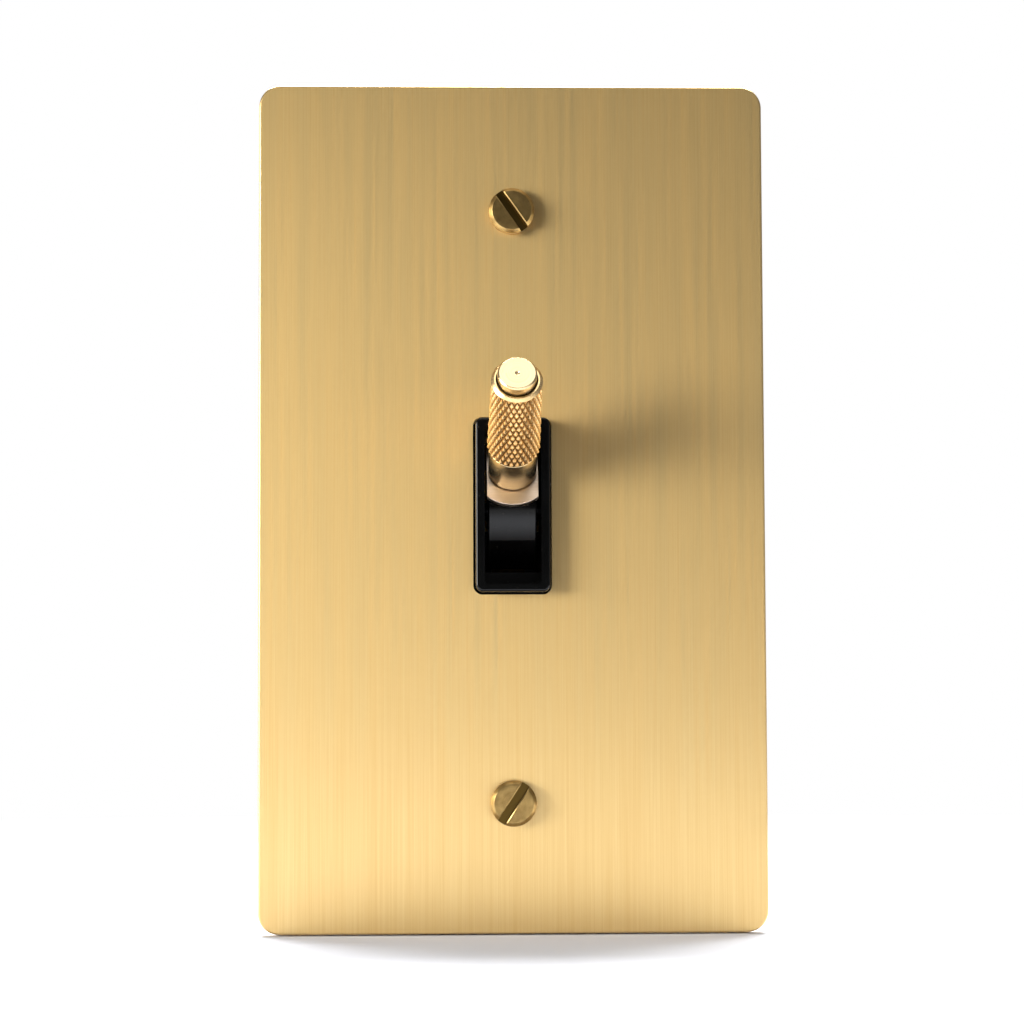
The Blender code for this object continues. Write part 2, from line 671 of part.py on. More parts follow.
def contact_plunger(axis):
    """Moulded plunger with a round nose and a pilot that keeps the spring in line."""
    nose_steps = 6
    nose = [i / nose_steps * pi / 2 for i in range(nose_steps)]
    centre = PLUNGER_TIP - PLUNGER_R
    profile = [
        (PLUNGER_PILOT_FROM, PLUNGER_PILOT_R),
        (PLUNGER_SHOULDER, PLUNGER_PILOT_R),
        (PLUNGER_SHOULDER, PLUNGER_R),
        *[(centre + PLUNGER_R * sin(a), PLUNGER_R * cos(a)) for a in nose],
        (PLUNGER_TIP, 0),
    ]
    turned("contact_plunger", profile, "acetal", axis, segments=24)


def seesaw_outline():
    """The bent strip, seen along its fulcrum: a dish in the middle and a straight wing each way."""
    centre = DISH_FRONT - DISH_R
    steps = 16
    angles = [DISH_HALF_ANGLE * (2 * i / steps - 1) for i in range(steps + 1)]
    front = [(centre + DISH_R * cos(a), DISH_R * sin(a)) for a in angles]
    outer_r = DISH_R + SEESAW_THICK
    back = [(centre + outer_r * cos(a), outer_r * sin(a)) for a in angles]
    wing_front = front[-1][0]
    wing_back = wing_front + SEESAW_THICK
    back = [(max(y, wing_back), z) for y, z in back]
    lower_front = [(wing_front, -WING_END)]
    upper_front = [(wing_front, WING_END), (wing_back, WING_END)]
    return lower_front + front + upper_front + list(reversed(back)) + [(wing_back, -WING_END)]


def contact_seesaw(axis):
    """Brass strip that rocks on its rod in the line terminal's cradle."""
    half = SEESAW_HALF_WIDTH
    strip = prism("contact_seesaw", seesaw_outline(), (-half, half), "strip_brass", axis, "X")
    rod_span = (-FULCRUM_ROD_HALF, FULCRUM_ROD_HALF)
    join(strip, rod("fulcrum_rod", FULCRUM_ROD_R, rod_span, along="X", parent=axis))
    rib_half = half - FULCRUM_RIB_INSET
    rib_low = (-rib_half, DISH_FRONT + SEESAW_THICK / 2, -FULCRUM_ROD_R / 2)
    join(strip, box("fulcrum_rib", rib_low, (rib_half, 0, FULCRUM_ROD_R / 2), None, axis))
    cut(strip, rod("contact_hole", CONTACT_HOLE_R, (-DISH_R, 0), (0, CONTACT_Z), parent=axis))


def contact_profile(face, sheet_near, sheet_far, way):
    """Button, shank through the sheet and peened head. way is +1 where the button is at the back."""
    seat = sheet_far + way * GAP
    head = sheet_near - way * GAP
    return [
        (head - way * CONTACT_HEAD_HIGH, CONTACT_HEAD_R),
        (head, CONTACT_HEAD_R),
        (head, CONTACT_SHANK_R),
        (seat, CONTACT_SHANK_R),
        (seat, CONTACT_R),
        (face - way * CONTACT_EDGE[0], CONTACT_R),
        (face, CONTACT_R - CONTACT_EDGE[1]),
    ]


def moving_contact(axis):
    """Silver contact riveted to the seesaw's lower wing, its button facing the back."""
    front = DISH_FRONT - DISH_R + DISH_R * cos(DISH_HALF_ANGLE)
    back = front + SEESAW_THICK
    profile = contact_profile(back + GAP + CONTACT_THICK, front, back, 1)
    turned("moving_contact", profile, "silver_alloy", axis, (0, 0, CONTACT_Z), segments=24)


def fixed_contact():
    """Silver contact riveted to the load terminal, its button facing the front."""
    profile = contact_profile(FIXED_CONTACT_Y, LOAD_PLATE_Y + SHEET, LOAD_PLATE_Y, -1)
    turned("fixed_contact", profile, "silver_alloy", origin=(0, 0, CONTACT_Z))


def terminal_tab(name, z, plate_y):
    """The tab outside the body that takes the wire, joined to the plate at plate_y."""
    inner = BODY_WIDTH / 2 + GAP
    low = (inner, TAB_FRONT, z - TAB_HALF)
    return box(name, low, (inner + SHEET, plate_y + SHEET, z + TAB_HALF))


def load_terminal():
    """Strip from the fixed contact out to the lower side screw."""
    z = -TERMINAL_Z
    high_x = BODY_WIDTH / 2 + GAP + SHEET / 2
    low = (LOAD_PLATE_X, LOAD_PLATE_Y, z - TERMINAL_HALF)
    back = LOAD_PLATE_Y + SHEET
    strip = box("load_terminal", low, (high_x, back, z + TERMINAL_HALF), "strip_brass")
    join(strip, terminal_tab("load_tab", z, LOAD_PLATE_Y))
    through = (LOAD_PLATE_Y - PAST, back + PAST)
    cut(strip, rod("load_contact_hole", CONTACT_HOLE_R, through, (0, CONTACT_Z)))
    cut(strip, rod("load_screw_hole", CLEAR_R, TAB_HOLE_SPAN, (TERMINAL_SCREW_Y, z), "X"))


def line_terminal():
    """Strip from the seesaw's cradle out to the upper side screw."""
    z = TERMINAL_Z
    high_x = BODY_WIDTH / 2 + GAP + SHEET / 2
    back = LINE_PLATE_Y + SHEET
    top = z + TERMINAL_HALF
    low = (-CRADLE[1], LINE_PLATE_Y, -CRADLE_HALF)
    strip = box("line_terminal", low, (CRADLE[1], back, top), "strip_brass")
    low = (CRADLE[0], LINE_PLATE_Y, z - TERMINAL_HALF)
    join(strip, box("line_arm", low, (high_x, back, top)))
    join(strip, terminal_tab("line_tab", z, LINE_PLATE_Y))
    ear_front = FULCRUM_Y - SHEET
    for side in (1, -1):
        low_x, ear_x = sorted((side * CRADLE[0], side * CRADLE[1]))
        low = (low_x, ear_front, -CRADLE_HALF)
        join(strip, box(f"cradle_ear_{side}", low, (ear_x, back, CRADLE_HALF)))
    notch_r = FULCRUM_ROD_R + GAP
    beyond = CRADLE[1] + PAST
    cut(strip, rod("cradle_notch", notch_r, (-beyond, beyond), (FULCRUM_Y, 0), "X"))
    low = (-beyond, ear_front - PAST, -notch_r)
    cut(strip, box("cradle_mouth", low, (beyond, FULCRUM_Y, notch_r)))
    cut(strip, rod("line_screw_hole", CLEAR_R, TAB_HOLE_SPAN, (TERMINAL_SCREW_Y, z), "X"))


def clamp_plate(name, z):
    """Small plate that a terminal screw presses on the wire."""
    inner = BODY_WIDTH / 2 + SHEET + 2 * GAP
    centre_y = TERMINAL_SCREW_Y
    low = (inner, centre_y - CLAMP_HALF, z - CLAMP_HALF)
    plate = box(name, low, (inner + SHEET, centre_y + CLAMP_HALF, z + CLAMP_HALF), "zinc_steel")
    cut(plate, rod(name + "_hole", CLEAR_R, (inner - GAP, inner + SHEET + GAP), (centre_y, z), "X"))


def terminal_screw(name, z):
    """Slotted binding screw on the side of the body."""
    seat = BODY_WIDTH / 2 + 2 * SHEET + 3 * GAP
    top = seat + TERMINAL_HEAD_HIGH
    profile = [
        (TERMINAL_SCREW_FROM, THREAD_R * 0.7),
        (TERMINAL_SCREW_FROM + TERMINAL_SCREW_POINT, THREAD_R),
        (seat, THREAD_R),
        (seat, TERMINAL_HEAD_R),
        (top - TERMINAL_HEAD_CHAMFER[0], TERMINAL_HEAD_R),
        (top, TERMINAL_HEAD_R - TERMINAL_HEAD_CHAMFER[1]),
    ]
    screw = turned(name, profile, "strip_brass", origin=(0, TERMINAL_SCREW_Y, z), along="X")
    centre = (top, TERMINAL_SCREW_Y, z)
    cut(screw, slot_cutter(name + "_slot", centre, radians(20), BINDING_SLOT, "X"))


def ground_screw():
    """Green ground screw in the strap's ear, its head at the back."""
    x, z = GROUND_AT
    seat = STRAP_BACK + WASHER_THICK + 2 * GAP
    top = seat + GROUND_HEAD_HIGH
    profile = [
        (STRAP_FRONT + 0.0002, THREAD_R),
        (seat, THREAD_R),
        (seat, SCREW_HEAD_R),
        (top - GROUND_HEAD_CHAMFER[0], SCREW_HEAD_R),
        (top, SCREW_HEAD_R - GROUND_HEAD_CHAMFER[1]),
    ]
    screw = turned("ground_screw", profile, "green_steel", origin=(x, 0, z))
    cut(screw, slot_cutter("ground_slot", (x, top, z), radians(40), BINDING_SLOT, "Y"))


def ground_washer():
    """Square clamp washer under the ground screw's head."""
    x, z = GROUND_AT
    front = STRAP_BACK + GAP
    back = front + WASHER_THICK
    half = GROUND_WASHER_HALF
    washer = box("ground_washer", (x - half, front, z - half), (x + half, back, z + half), "zinc_steel")
    cut(washer, rod("ground_washer_hole", CLEAR_R, (front - GAP, back + PAST), GROUND_AT))


def fasteners():
    """Screws, studs, nuts, washers and rivets, by where they sit."""
    for side, z_sign, turn in (("upper", 1, radians(55)), ("lower", -1, radians(-57))):
        plate_screw(f"plate_screw_{side}", z_sign * BOX_SCREW_PITCH / 2, turn)
        stud_z = z_sign * STUD_PITCH / 2
        plate_stud(f"plate_stud_{side}", stud_z)
        stud_washer(f"stud_washer_{side}", stud_z)
        stud_nut(f"stud_nut_{side}", stud_z)
        for edge, x_sign in (("left", -1), ("right", 1)):
            housing_rivet(f"housing_rivet_{side}_{edge}", x_sign * RIVET_X, z_sign * RIVET_Z)


def main():
    """Build the switch at rest, with the lever up."""
    clear_scene()
    wall_plate()
    fasteners()
    mounting_strap()
    front_housing()
    rear_housing()
    pivot_pin()

    toggle_axis = axis_empty("toggle_axis", (0, PIVOT_Y, 0), -LEVER_ANGLE)
    toggle_rocker(toggle_axis)
    lever_flange(toggle_axis)
    lever_stud(toggle_axis)
    lever_stem(toggle_axis)
    knurled_grip(toggle_axis)
    plunger_spring(toggle_axis)
    contact_plunger(toggle_axis)

    seesaw_axis = axis_empty("seesaw_axis", (0, FULCRUM_Y, 0), SEESAW_TILT)
    contact_seesaw(seesaw_axis)
    moving_contact(seesaw_axis)

    fixed_contact()
    load_terminal()
    line_terminal()
    for side, z in (("load", -TERMINAL_Z), ("line", TERMINAL_Z)):
        clamp_plate(f"{side}_clamp_plate", z)
        terminal_screw(f"{side}_terminal_screw", z)
    ground_screw()
    ground_washer()


main()
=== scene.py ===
"""Looks of a toggle wall switch: a brushed brass plate, a knurled lever and the switch behind it.

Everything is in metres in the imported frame's own axes: +X right seen from the room, +Y into the wall,
+Z up. The origin is the centre of the plate's back face.
"""

import logging
from collections.abc import Iterable, Sequence
from dataclasses import dataclass
from enum import Enum
from math import cos, pi, radians, sin, sqrt, tan

import bmesh
import bpy
import numpy as np
from mathutils import Matrix, Vector


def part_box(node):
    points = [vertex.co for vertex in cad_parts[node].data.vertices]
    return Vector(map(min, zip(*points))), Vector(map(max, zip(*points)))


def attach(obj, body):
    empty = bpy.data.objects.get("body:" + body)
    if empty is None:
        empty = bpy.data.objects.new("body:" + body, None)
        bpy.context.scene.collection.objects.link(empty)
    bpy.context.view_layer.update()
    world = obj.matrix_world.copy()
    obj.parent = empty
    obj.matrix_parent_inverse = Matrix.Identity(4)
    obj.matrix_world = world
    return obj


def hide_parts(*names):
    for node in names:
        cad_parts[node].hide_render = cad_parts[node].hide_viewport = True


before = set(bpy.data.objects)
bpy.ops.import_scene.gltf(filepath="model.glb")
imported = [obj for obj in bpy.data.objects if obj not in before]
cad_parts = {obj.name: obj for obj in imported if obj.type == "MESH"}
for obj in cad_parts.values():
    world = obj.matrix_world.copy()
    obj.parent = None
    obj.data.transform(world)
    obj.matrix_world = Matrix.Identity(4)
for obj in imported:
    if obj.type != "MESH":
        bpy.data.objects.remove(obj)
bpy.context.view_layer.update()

Pair = tuple[float, float]
Triple = tuple[float, float, float]

MM = 0.001
GAP = 0.0003
SMEAR_OVER_GRIT = 12
SPECK_APART = 1 / 900
GRAIN_MAP = "grain"
GROOVE_SHADE = "groove_shade"
HERE = Matrix.Identity(4)

PIVOT_Y = 0.006
LEVER_ANGLE = radians(28)
LEVER = Matrix.Translation((0, PIVOT_Y, 0)) @ Matrix.Rotation(-LEVER_ANGLE, 4, "X")
ALONG_X = Matrix.Rotation(-pi / 2, 4, "Z")

COLLAR_FRONT = -0.00575
SLOT_HALF_WIDTH = 0.00395
STRAP_BACK = 0.0019
BODY_FRONT = STRAP_BACK + GAP
BODY_SPLIT = 0.011
BODY_SIZE = (0.026, 0.0516)
BODY_CORNER = 0.002
RIVET_AT = (0.010, 0.0223)
RIVET_R = 0.0012
THREAD_R = 0.00175
THREAD_PITCH = 0.000794
THREAD_DEPTH = 0.00042
CLEAR_R = 0.00205
PIN_HOLE_R = 0.0013
PIN_HOLE_HALF = 0.0083
LEVER_STUD_HOLE_R = 0.0018
LEVER_SEAT_AT = 0.0089
BOX_SCREW_PITCH = 0.08334
PLATE_STUD_PITCH = 0.06033
LOAD_PLATE_Y = 0.0197
LINE_PLATE_Y = 0.0216
SHEET = 0.0008
TERMINAL_Z = 0.012
TERMINAL_SCREW_Y = 0.0165

log = logging.getLogger("switch")


class Side(Enum):
    """Above or below the lever."""

    UPPER = 1
    LOWER = -1


class Grain(Enum):
    """Which way a metal's fine marks run, as the length of a mark along X, Y and Z over its width."""

    UPRIGHT = (1.0, 1.0, 150.0)
    ACROSS = (90.0, 1.0, 1.0)
    NONE = (1.0, 1.0, 1.0)
    TURNED = (0.0, 0.0, 0.0)


def srgb(code: str) -> tuple[float, float, float, float]:
    """Turn a colour from sRGB hex to linear.

    Args:
        code: The colour, such as "#C8A56A".

    Returns:
        Linear red, green, blue and an alpha of 1.
    """
    channels = [int(code[i : i + 2], 16) / 255 for i in (1, 3, 5)]
    linear = [c / 12.92 if c <= 0.04045 else ((c + 0.055) / 1.055) ** 2.4 for c in channels]
    return (linear[0], linear[1], linear[2], 1.0)


def add_node(
    tree: bpy.types.NodeTree, kind: str, settings: dict | None = None, sockets: dict | None = None
) -> bpy.types.Node:
    """Add one node with its settings and links.

    Args:
        tree: The tree that gets the node.
        kind: The node's type name.
        settings: The node's own settings, by name.
        sockets: For each input, by name or number, a value or the output that feeds it.

    Returns:
        The new node.
    """
    node = tree.nodes.new(kind)
    for name, value in (settings or {}).items():
        setattr(node, name, value)
    for key, value in (sockets or {}).items():
        if isinstance(value, bpy.types.NodeSocket):
            tree.links.new(value, node.inputs[key])
        else:
            node.inputs[key].default_value = value
    return node


def ramp(
    tree: bpy.types.NodeTree,
    value: object,
    span: Pair = (0.0, 1.0),
    to: Pair = (0.0, 1.0),
    smooth: bool = False,
) -> bpy.types.NodeSocket:
    """Map a value from one range to another and hold it at the ends.

    Args:
        tree: The node tree.
        value: The value's socket.
        span: Where the value starts and ends.
        to: What that becomes.
        smooth: Whether the ends are eased.

    Returns:
        The mapped value.
    """
    settings = {"interpolation_type": "SMOOTHSTEP"} if smooth else None
    sockets = {"Value": value, "From Min": span[0], "From Max": span[1], "To Min": to[0], "To Max": to[1]}
    return add_node(tree, "ShaderNodeMapRange", settings, sockets).outputs[0]


def blend(tree: bpy.types.NodeTree, share: object, low: object, high: object) -> bpy.types.NodeSocket:
    """Mix two colours, all of the first at a share of 0."""
    return add_node(tree, "ShaderNodeMix", {"data_type": "RGBA"}, {0: share, 6: low, 7: high}).outputs[2]


def noise(tree: bpy.types.NodeTree, place: object, size: float, detail: float) -> bpy.types.NodeSocket:
    """Soft noise with spots of about one size, in metres."""
    sockets = {"Vector": place, "Scale": 1 / size, "Detail": detail}
    return add_node(tree, "ShaderNodeTexNoise", None, sockets).outputs["Fac"]


# ---------------------------------------------------------------- finishes


@dataclass(frozen=True)
class Finish:
    """A real material and how its surface was made."""

    name: str

    def material(self) -> bpy.types.Material:
        """Make the material on first use.

        Returns:
            The Blender material.
        """
        made = bpy.data.materials.get(self.name)
        if made is None:
            made = bpy.data.materials.new(self.name)
            made.use_nodes = True
            self.shade(made.node_tree, made.node_tree.nodes["Principled BSDF"])
        return made

    def shade(self, tree: bpy.types.NodeTree, shader: bpy.types.Node) -> None:
        """Add the nodes that feed the shader.

        Args:
            tree: The material's node tree.
            shader: Its Principled BSDF.
        """
        raise NotImplementedError

    @staticmethod
    def wire(
        tree: bpy.types.NodeTree,
        shader: bpy.types.Node,
        colour: object,
        rough: object,
        height: object,
        lift: float,
    ) -> None:
        """Feed the shader its colour, roughness and bumps.

        Args:
            tree: The material's node tree.
            shader: Its Principled BSDF.
            colour: The colour's socket.
            rough: The roughness's socket.
            height: The bumps' socket, from 0 to 1.
            lift: How high a bump of 1 is, in metres.
        """
        bump = add_node(tree, "ShaderNodeBump", None, {"Height": height, "Distance": lift, "Strength": 1.0})
        for name, socket in (("Base Color", colour), ("Roughness", rough), ("Normal", bump.outputs[0])):
            tree.links.new(socket, shader.inputs[name])


@dataclass(frozen=True)
class Metal(Finish):
    """A bare, plated or lacquered metal with the marks that its making left."""

    bright: str
    deep: str
    grain: Grain = Grain.NONE
    mark: float = 0.00015
    roughness: Pair = (0.25, 0.35)
    anisotropy: float = 0.0
    bump: float = 0.000002
    tarnish: str = "#8A6A35"
    tarnish_share: float = 0.0
    tarnish_size: float = 0.004
    lacquer: float = 0.0
    lacquer_roughness: float = 0.3
    # Colour of the painted shade in grooves and cuts, if any.
    groove_shade: str | None = None

    def marks(self, tree: bpy.types.NodeTree, width: float, detail: float) -> bpy.types.NodeSocket:
        """Noise drawn out along the grain.

        Args:
            tree: The material's node tree.
            width: A mark's width in metres.
            detail: How many finer octaves it has.

        Returns:
            The noise, from 0 to 1.
        """
        if self.grain is Grain.TURNED:
            source = add_node(tree, "ShaderNodeUVMap", {"uv_map": GRAIN_MAP}).outputs["UV"]
            scale = (MM / width, 0.02, 0.0)
        else:
            source = add_node(tree, "ShaderNodeTexCoord").outputs["Object"]
            scale = tuple(1 / (width * length) for length in self.grain.value)
        drawn = {"Vector": source, "Scale": scale}
        place = add_node(tree, "ShaderNodeMapping", None, drawn).outputs["Vector"]
        sockets = {"Vector": place, "Scale": 1.0, "Detail": detail, "Roughness": 0.6}
        return add_node(tree, "ShaderNodeTexNoise", None, sockets).outputs["Fac"]

    def shade(self, tree: bpy.types.NodeTree, shader: bpy.types.Node) -> None:
        """Add the nodes that feed the shader.

        Args:
            tree: The material's node tree.
            shader: Its Principled BSDF.
        """
        fine = self.marks(tree, self.mark, 3.0)
        broad = self.marks(tree, self.mark * 6, 2.0)
        both = add_node(tree, "ShaderNodeMath", {"operation": "MULTIPLY_ADD"}, {0: broad, 1: 0.6, 2: fine})
        both = both.outputs[0]
        level = ramp(tree, both, (0.5, 1.1))
        colour = blend(tree, level, srgb(self.deep), srgb(self.bright))
        if self.tarnish_share > 0:
            # A cloudy darker tone lies over the metal.
            place = add_node(tree, "ShaderNodeTexCoord").outputs["Object"]
            cloud = noise(tree, place, self.tarnish_size, 4.0)
            share = ramp(tree, cloud, (0.35, 0.7), (0.0, self.tarnish_share))
            colour = blend(tree, share, colour, srgb(self.tarnish))
        if self.groove_shade:
            # Painted shade: the bottoms of grooves and cuts are blended towards a darker colour.
            depth = add_node(tree, "ShaderNodeAttribute", {"attribute_name": GROOVE_SHADE}).outputs["Fac"]
            colour = blend(tree, ramp(tree, depth, (0.35, 1.0)), colour, srgb(self.groove_shade))
        rough = ramp(tree, level, to=(self.roughness[1], self.roughness[0]))
        self.wire(tree, shader, colour, rough, both, self.bump)
        shader.inputs["Metallic"].default_value = 1.0
        if self.anisotropy:
            tangent = add_node(tree, "ShaderNodeTangent", {"direction_type": "UV_MAP", "uv_map": GRAIN_MAP})
            tree.links.new(tangent.outputs[0], shader.inputs["Tangent"])
            shader.inputs["Anisotropic"].default_value = self.anisotropy
        if self.lacquer:
            shader.inputs["Coat Weight"].default_value = self.lacquer
            shader.inputs["Coat Roughness"].default_value = self.lacquer_roughness


@dataclass(frozen=True)
class Plastic(Finish):
    """A moulding with its mould's texture, and on a handled one dust."""

    body: str
    worn: str
    roughness: Pair = (0.1, 0.2)
    ior: float = 1.5
    grit: float = 0.0004
    bump: float = 0.000002
    dust: float = 0.0

    def shade(self, tree: bpy.types.NodeTree, shader: bpy.types.Node) -> None:
        """Add the nodes that feed the shader.

        Args:
            tree: The material's node tree.
            shader: Its Principled BSDF.
        """
        place = add_node(tree, "ShaderNodeTexCoord").outputs["Object"]
        skin = noise(tree, place, self.grit, 2.0)
        smear = noise(tree, place, self.grit * SMEAR_OVER_GRIT, 4.0)
        rough = ramp(tree, smear, (0.35, 0.65), self.roughness)
        sockets = {"Vector": place, "Scale": 1 / SPECK_APART, "Randomness": 1.0}
        specks = add_node(tree, "ShaderNodeTexVoronoi", None, sockets).outputs["Distance"]
        speck = ramp(tree, specks, (0.03, 0.09), (self.dust, 0.0))
        colour = blend(tree, speck, srgb(self.body), srgb(self.worn))
        self.wire(tree, shader, colour, rough, skin, self.bump)
        shader.inputs["IOR"].default_value = self.ior


# Satin brass, brushed up and down and lacquered: soft streaks, light drawn out sideways.
PLATE_BRASS = Metal(
    "lacquered brushed brass",
    bright="#EBCB88",
    deep="#DFB872",
    grain=Grain.UPRIGHT,
    mark=0.00016,
    roughness=(0.36, 0.44),
    anisotropy=0.75,
    bump=0.0000012,
    lacquer=1.0,
    lacquer_roughness=0.28,
)
# Old turned screws: brown-gold with darker clouds, sharper light than the plate.
SCREW_BRASS = Metal(
    "aged turned brass",
    bright="#C6A66A",
    deep="#AA8A50",
    grain=Grain.TURNED,
    mark=0.00012,
    roughness=(0.26, 0.36),
    anisotropy=0.4,
    bump=0.0000015,
    tarnish="#80643A",
    tarnish_share=0.6,
    tarnish_size=0.0012,
    # Painted shade, darker brown, in the slot and in the thread's roots.
    groove_shade="#665026",
)
# Polished turned brass with faint rings from the tool.
TURNED_BRASS = Metal(
    "fine turned brass",
    bright="#E9D2A6",
    deep="#DABD8A",
    grain=Grain.TURNED,
    mark=0.00008,
    roughness=(0.18, 0.26),
    anisotropy=0.5,
    bump=0.0000008,
)
# Knurled brass, bright on its points, with a darker, browner painted shade in its grooves.
KNURLED_BRASS = Metal(
    "knurled brass",
    bright="#F4D49E",
    deep="#E6BF82",
    mark=0.0003,
    roughness=(0.24, 0.32),
    bump=0.000001,
    groove_shade="#7C5426",
)
# Pale brass disc, finely brushed from side to side.
PALE_BRASS = Metal(
    "pale cross-brushed brass",
    bright="#F0DECB",
    deep="#E0C8AE",
    grain=Grain.ACROSS,
    mark=0.0001,
    roughness=(0.34, 0.44),
    anisotropy=0.5,
    bump=0.0000012,
)
# Rolled strip brass of terminals and studs, a little dull.
STRIP_BRASS = Metal(
    "rolled strip brass",
    bright="#DDB566",
    deep="#C89C4E",
    mark=0.0004,
    roughness=(0.24, 0.36),
    tarnish="#9A7436",
    tarnish_share=0.5,
    tarnish_size=0.003,
)
# Bright zinc on pressed steel: cool grey with a faint cloudy bloom.
ZINC_STEEL = Metal(
    "zinc plated steel",
    bright="#D6D8DB",
    deep="#B9BDC2",
    mark=0.0005,
    roughness=(0.26, 0.4),
    bump=0.000003,
    tarnish="#A7AAA6",
    tarnish_share=0.7,
    tarnish_size=0.005,
)
# Drawn spring wire, darker and smoother than the zinc.
SPRING_STEEL = Metal(
    "drawn spring steel", bright="#B9BABD", deep="#8F9196", mark=0.0002, roughness=(0.2, 0.3), bump=0.000001
)
# Steel of the axle, coloured near-black as painted shade so that it hardly shows beside the skirt.
SHADE_DARK_STEEL = Metal(
    "blackened steel", bright="#2A2A2C", deep="#1C1C1E", mark=0.0002, roughness=(0.3, 0.4)
)
# Spring bronze coloured dark brown as painted shade, so that it stays dark where it shows past the skirt.
SHADE_DARK_BRONZE = Metal(
    "dulled spring bronze", bright="#4A3A22", deep="#33281A", mark=0.0003, roughness=(0.4, 0.5)
)
# Silver contact alloy, bright with a warm bloom.
SILVER_ALLOY = Metal(
    "silver contact alloy",
    bright="#EDEBE6",
    deep="#D2CFC8",
    mark=0.0002,
    roughness=(0.22, 0.34),
    bump=0.000001,
    tarnish="#B3A68F",
    tarnish_share=0.4,
    tarnish_size=0.001,
)
# Green dyed zinc marks the ground screw.
GREEN_ZINC = Metal(
    "green dyed zinc",
    bright="#3F9A58",
    deep="#2A7A42",
    mark=0.0003,
    roughness=(0.24, 0.38),
    tarnish="#1F5A32",
    tarnish_share=0.5,
    tarnish_size=0.002,
)
# Glossy black thermoset: deep black, sharp highlights on its round edges, a little dust.
GLOSS_BLACK = Plastic(
    "glossy black moulding",
    body="#050505",
    worn="#55524D",
    roughness=(0.08, 0.16),
    ior=1.36,
    grit=0.0006,
    bump=0.0000015,
    dust=0.4,
)
# Matt black of the cup behind the strap, from a spark-eroded mould.
MATT_BLACK = Plastic(
    "matt black moulding",
    body="#151516",
    worn="#3A3A3B",
    roughness=(0.42, 0.55),
    grit=0.00018,
    bump=0.000012,
    dust=0.2,
)
# Natural acetal, milky and waxy.
ACETAL = Plastic("natural acetal", body="#E6E2D4", worn="#CFC9B8", roughness=(0.3, 0.4), ior=1.48)


# ---------------------------------------------------------------- shapes


def filleted(corners: Sequence[Triple], steps: int = 4, closed: bool = False) -> list[Pair]:
    """Round the corners of a flat line.

    Args:
        corners: (a, b, radius) of each corner, in order.
        steps: How many straight pieces each round corner gets.
        closed: Whether the last corner joins the first.

    Returns:
        The points of the rounded line.
    """
    points = []
    last = len(corners) - 1
    for i, (a, b, radius) in enumerate(corners):
        if radius == 0 or (not closed and i in (0, last)):
            points.append((a, b))
            continue
        here = Vector((a, b))
        before = (Vector(corners[i - 1][:2]) - here).normalized()
        after = (Vector(corners[(i + 1) % len(corners)][:2]) - here).normalized()
        half = before.angle(after) / 2
        centre = here + (before + after).normalized() * (radius / sin(half))
        start = here + before * (radius / tan(half)) - centre
        end = here + after * (radius / tan(half)) - centre
        spread = start.angle(end)
        for step in range(steps + 1):
            share = step / steps
            arm = (start * sin((1 - share) * spread) + end * sin(share * spread)) / sin(spread)
            points.append(tuple(centre + arm))
    return points


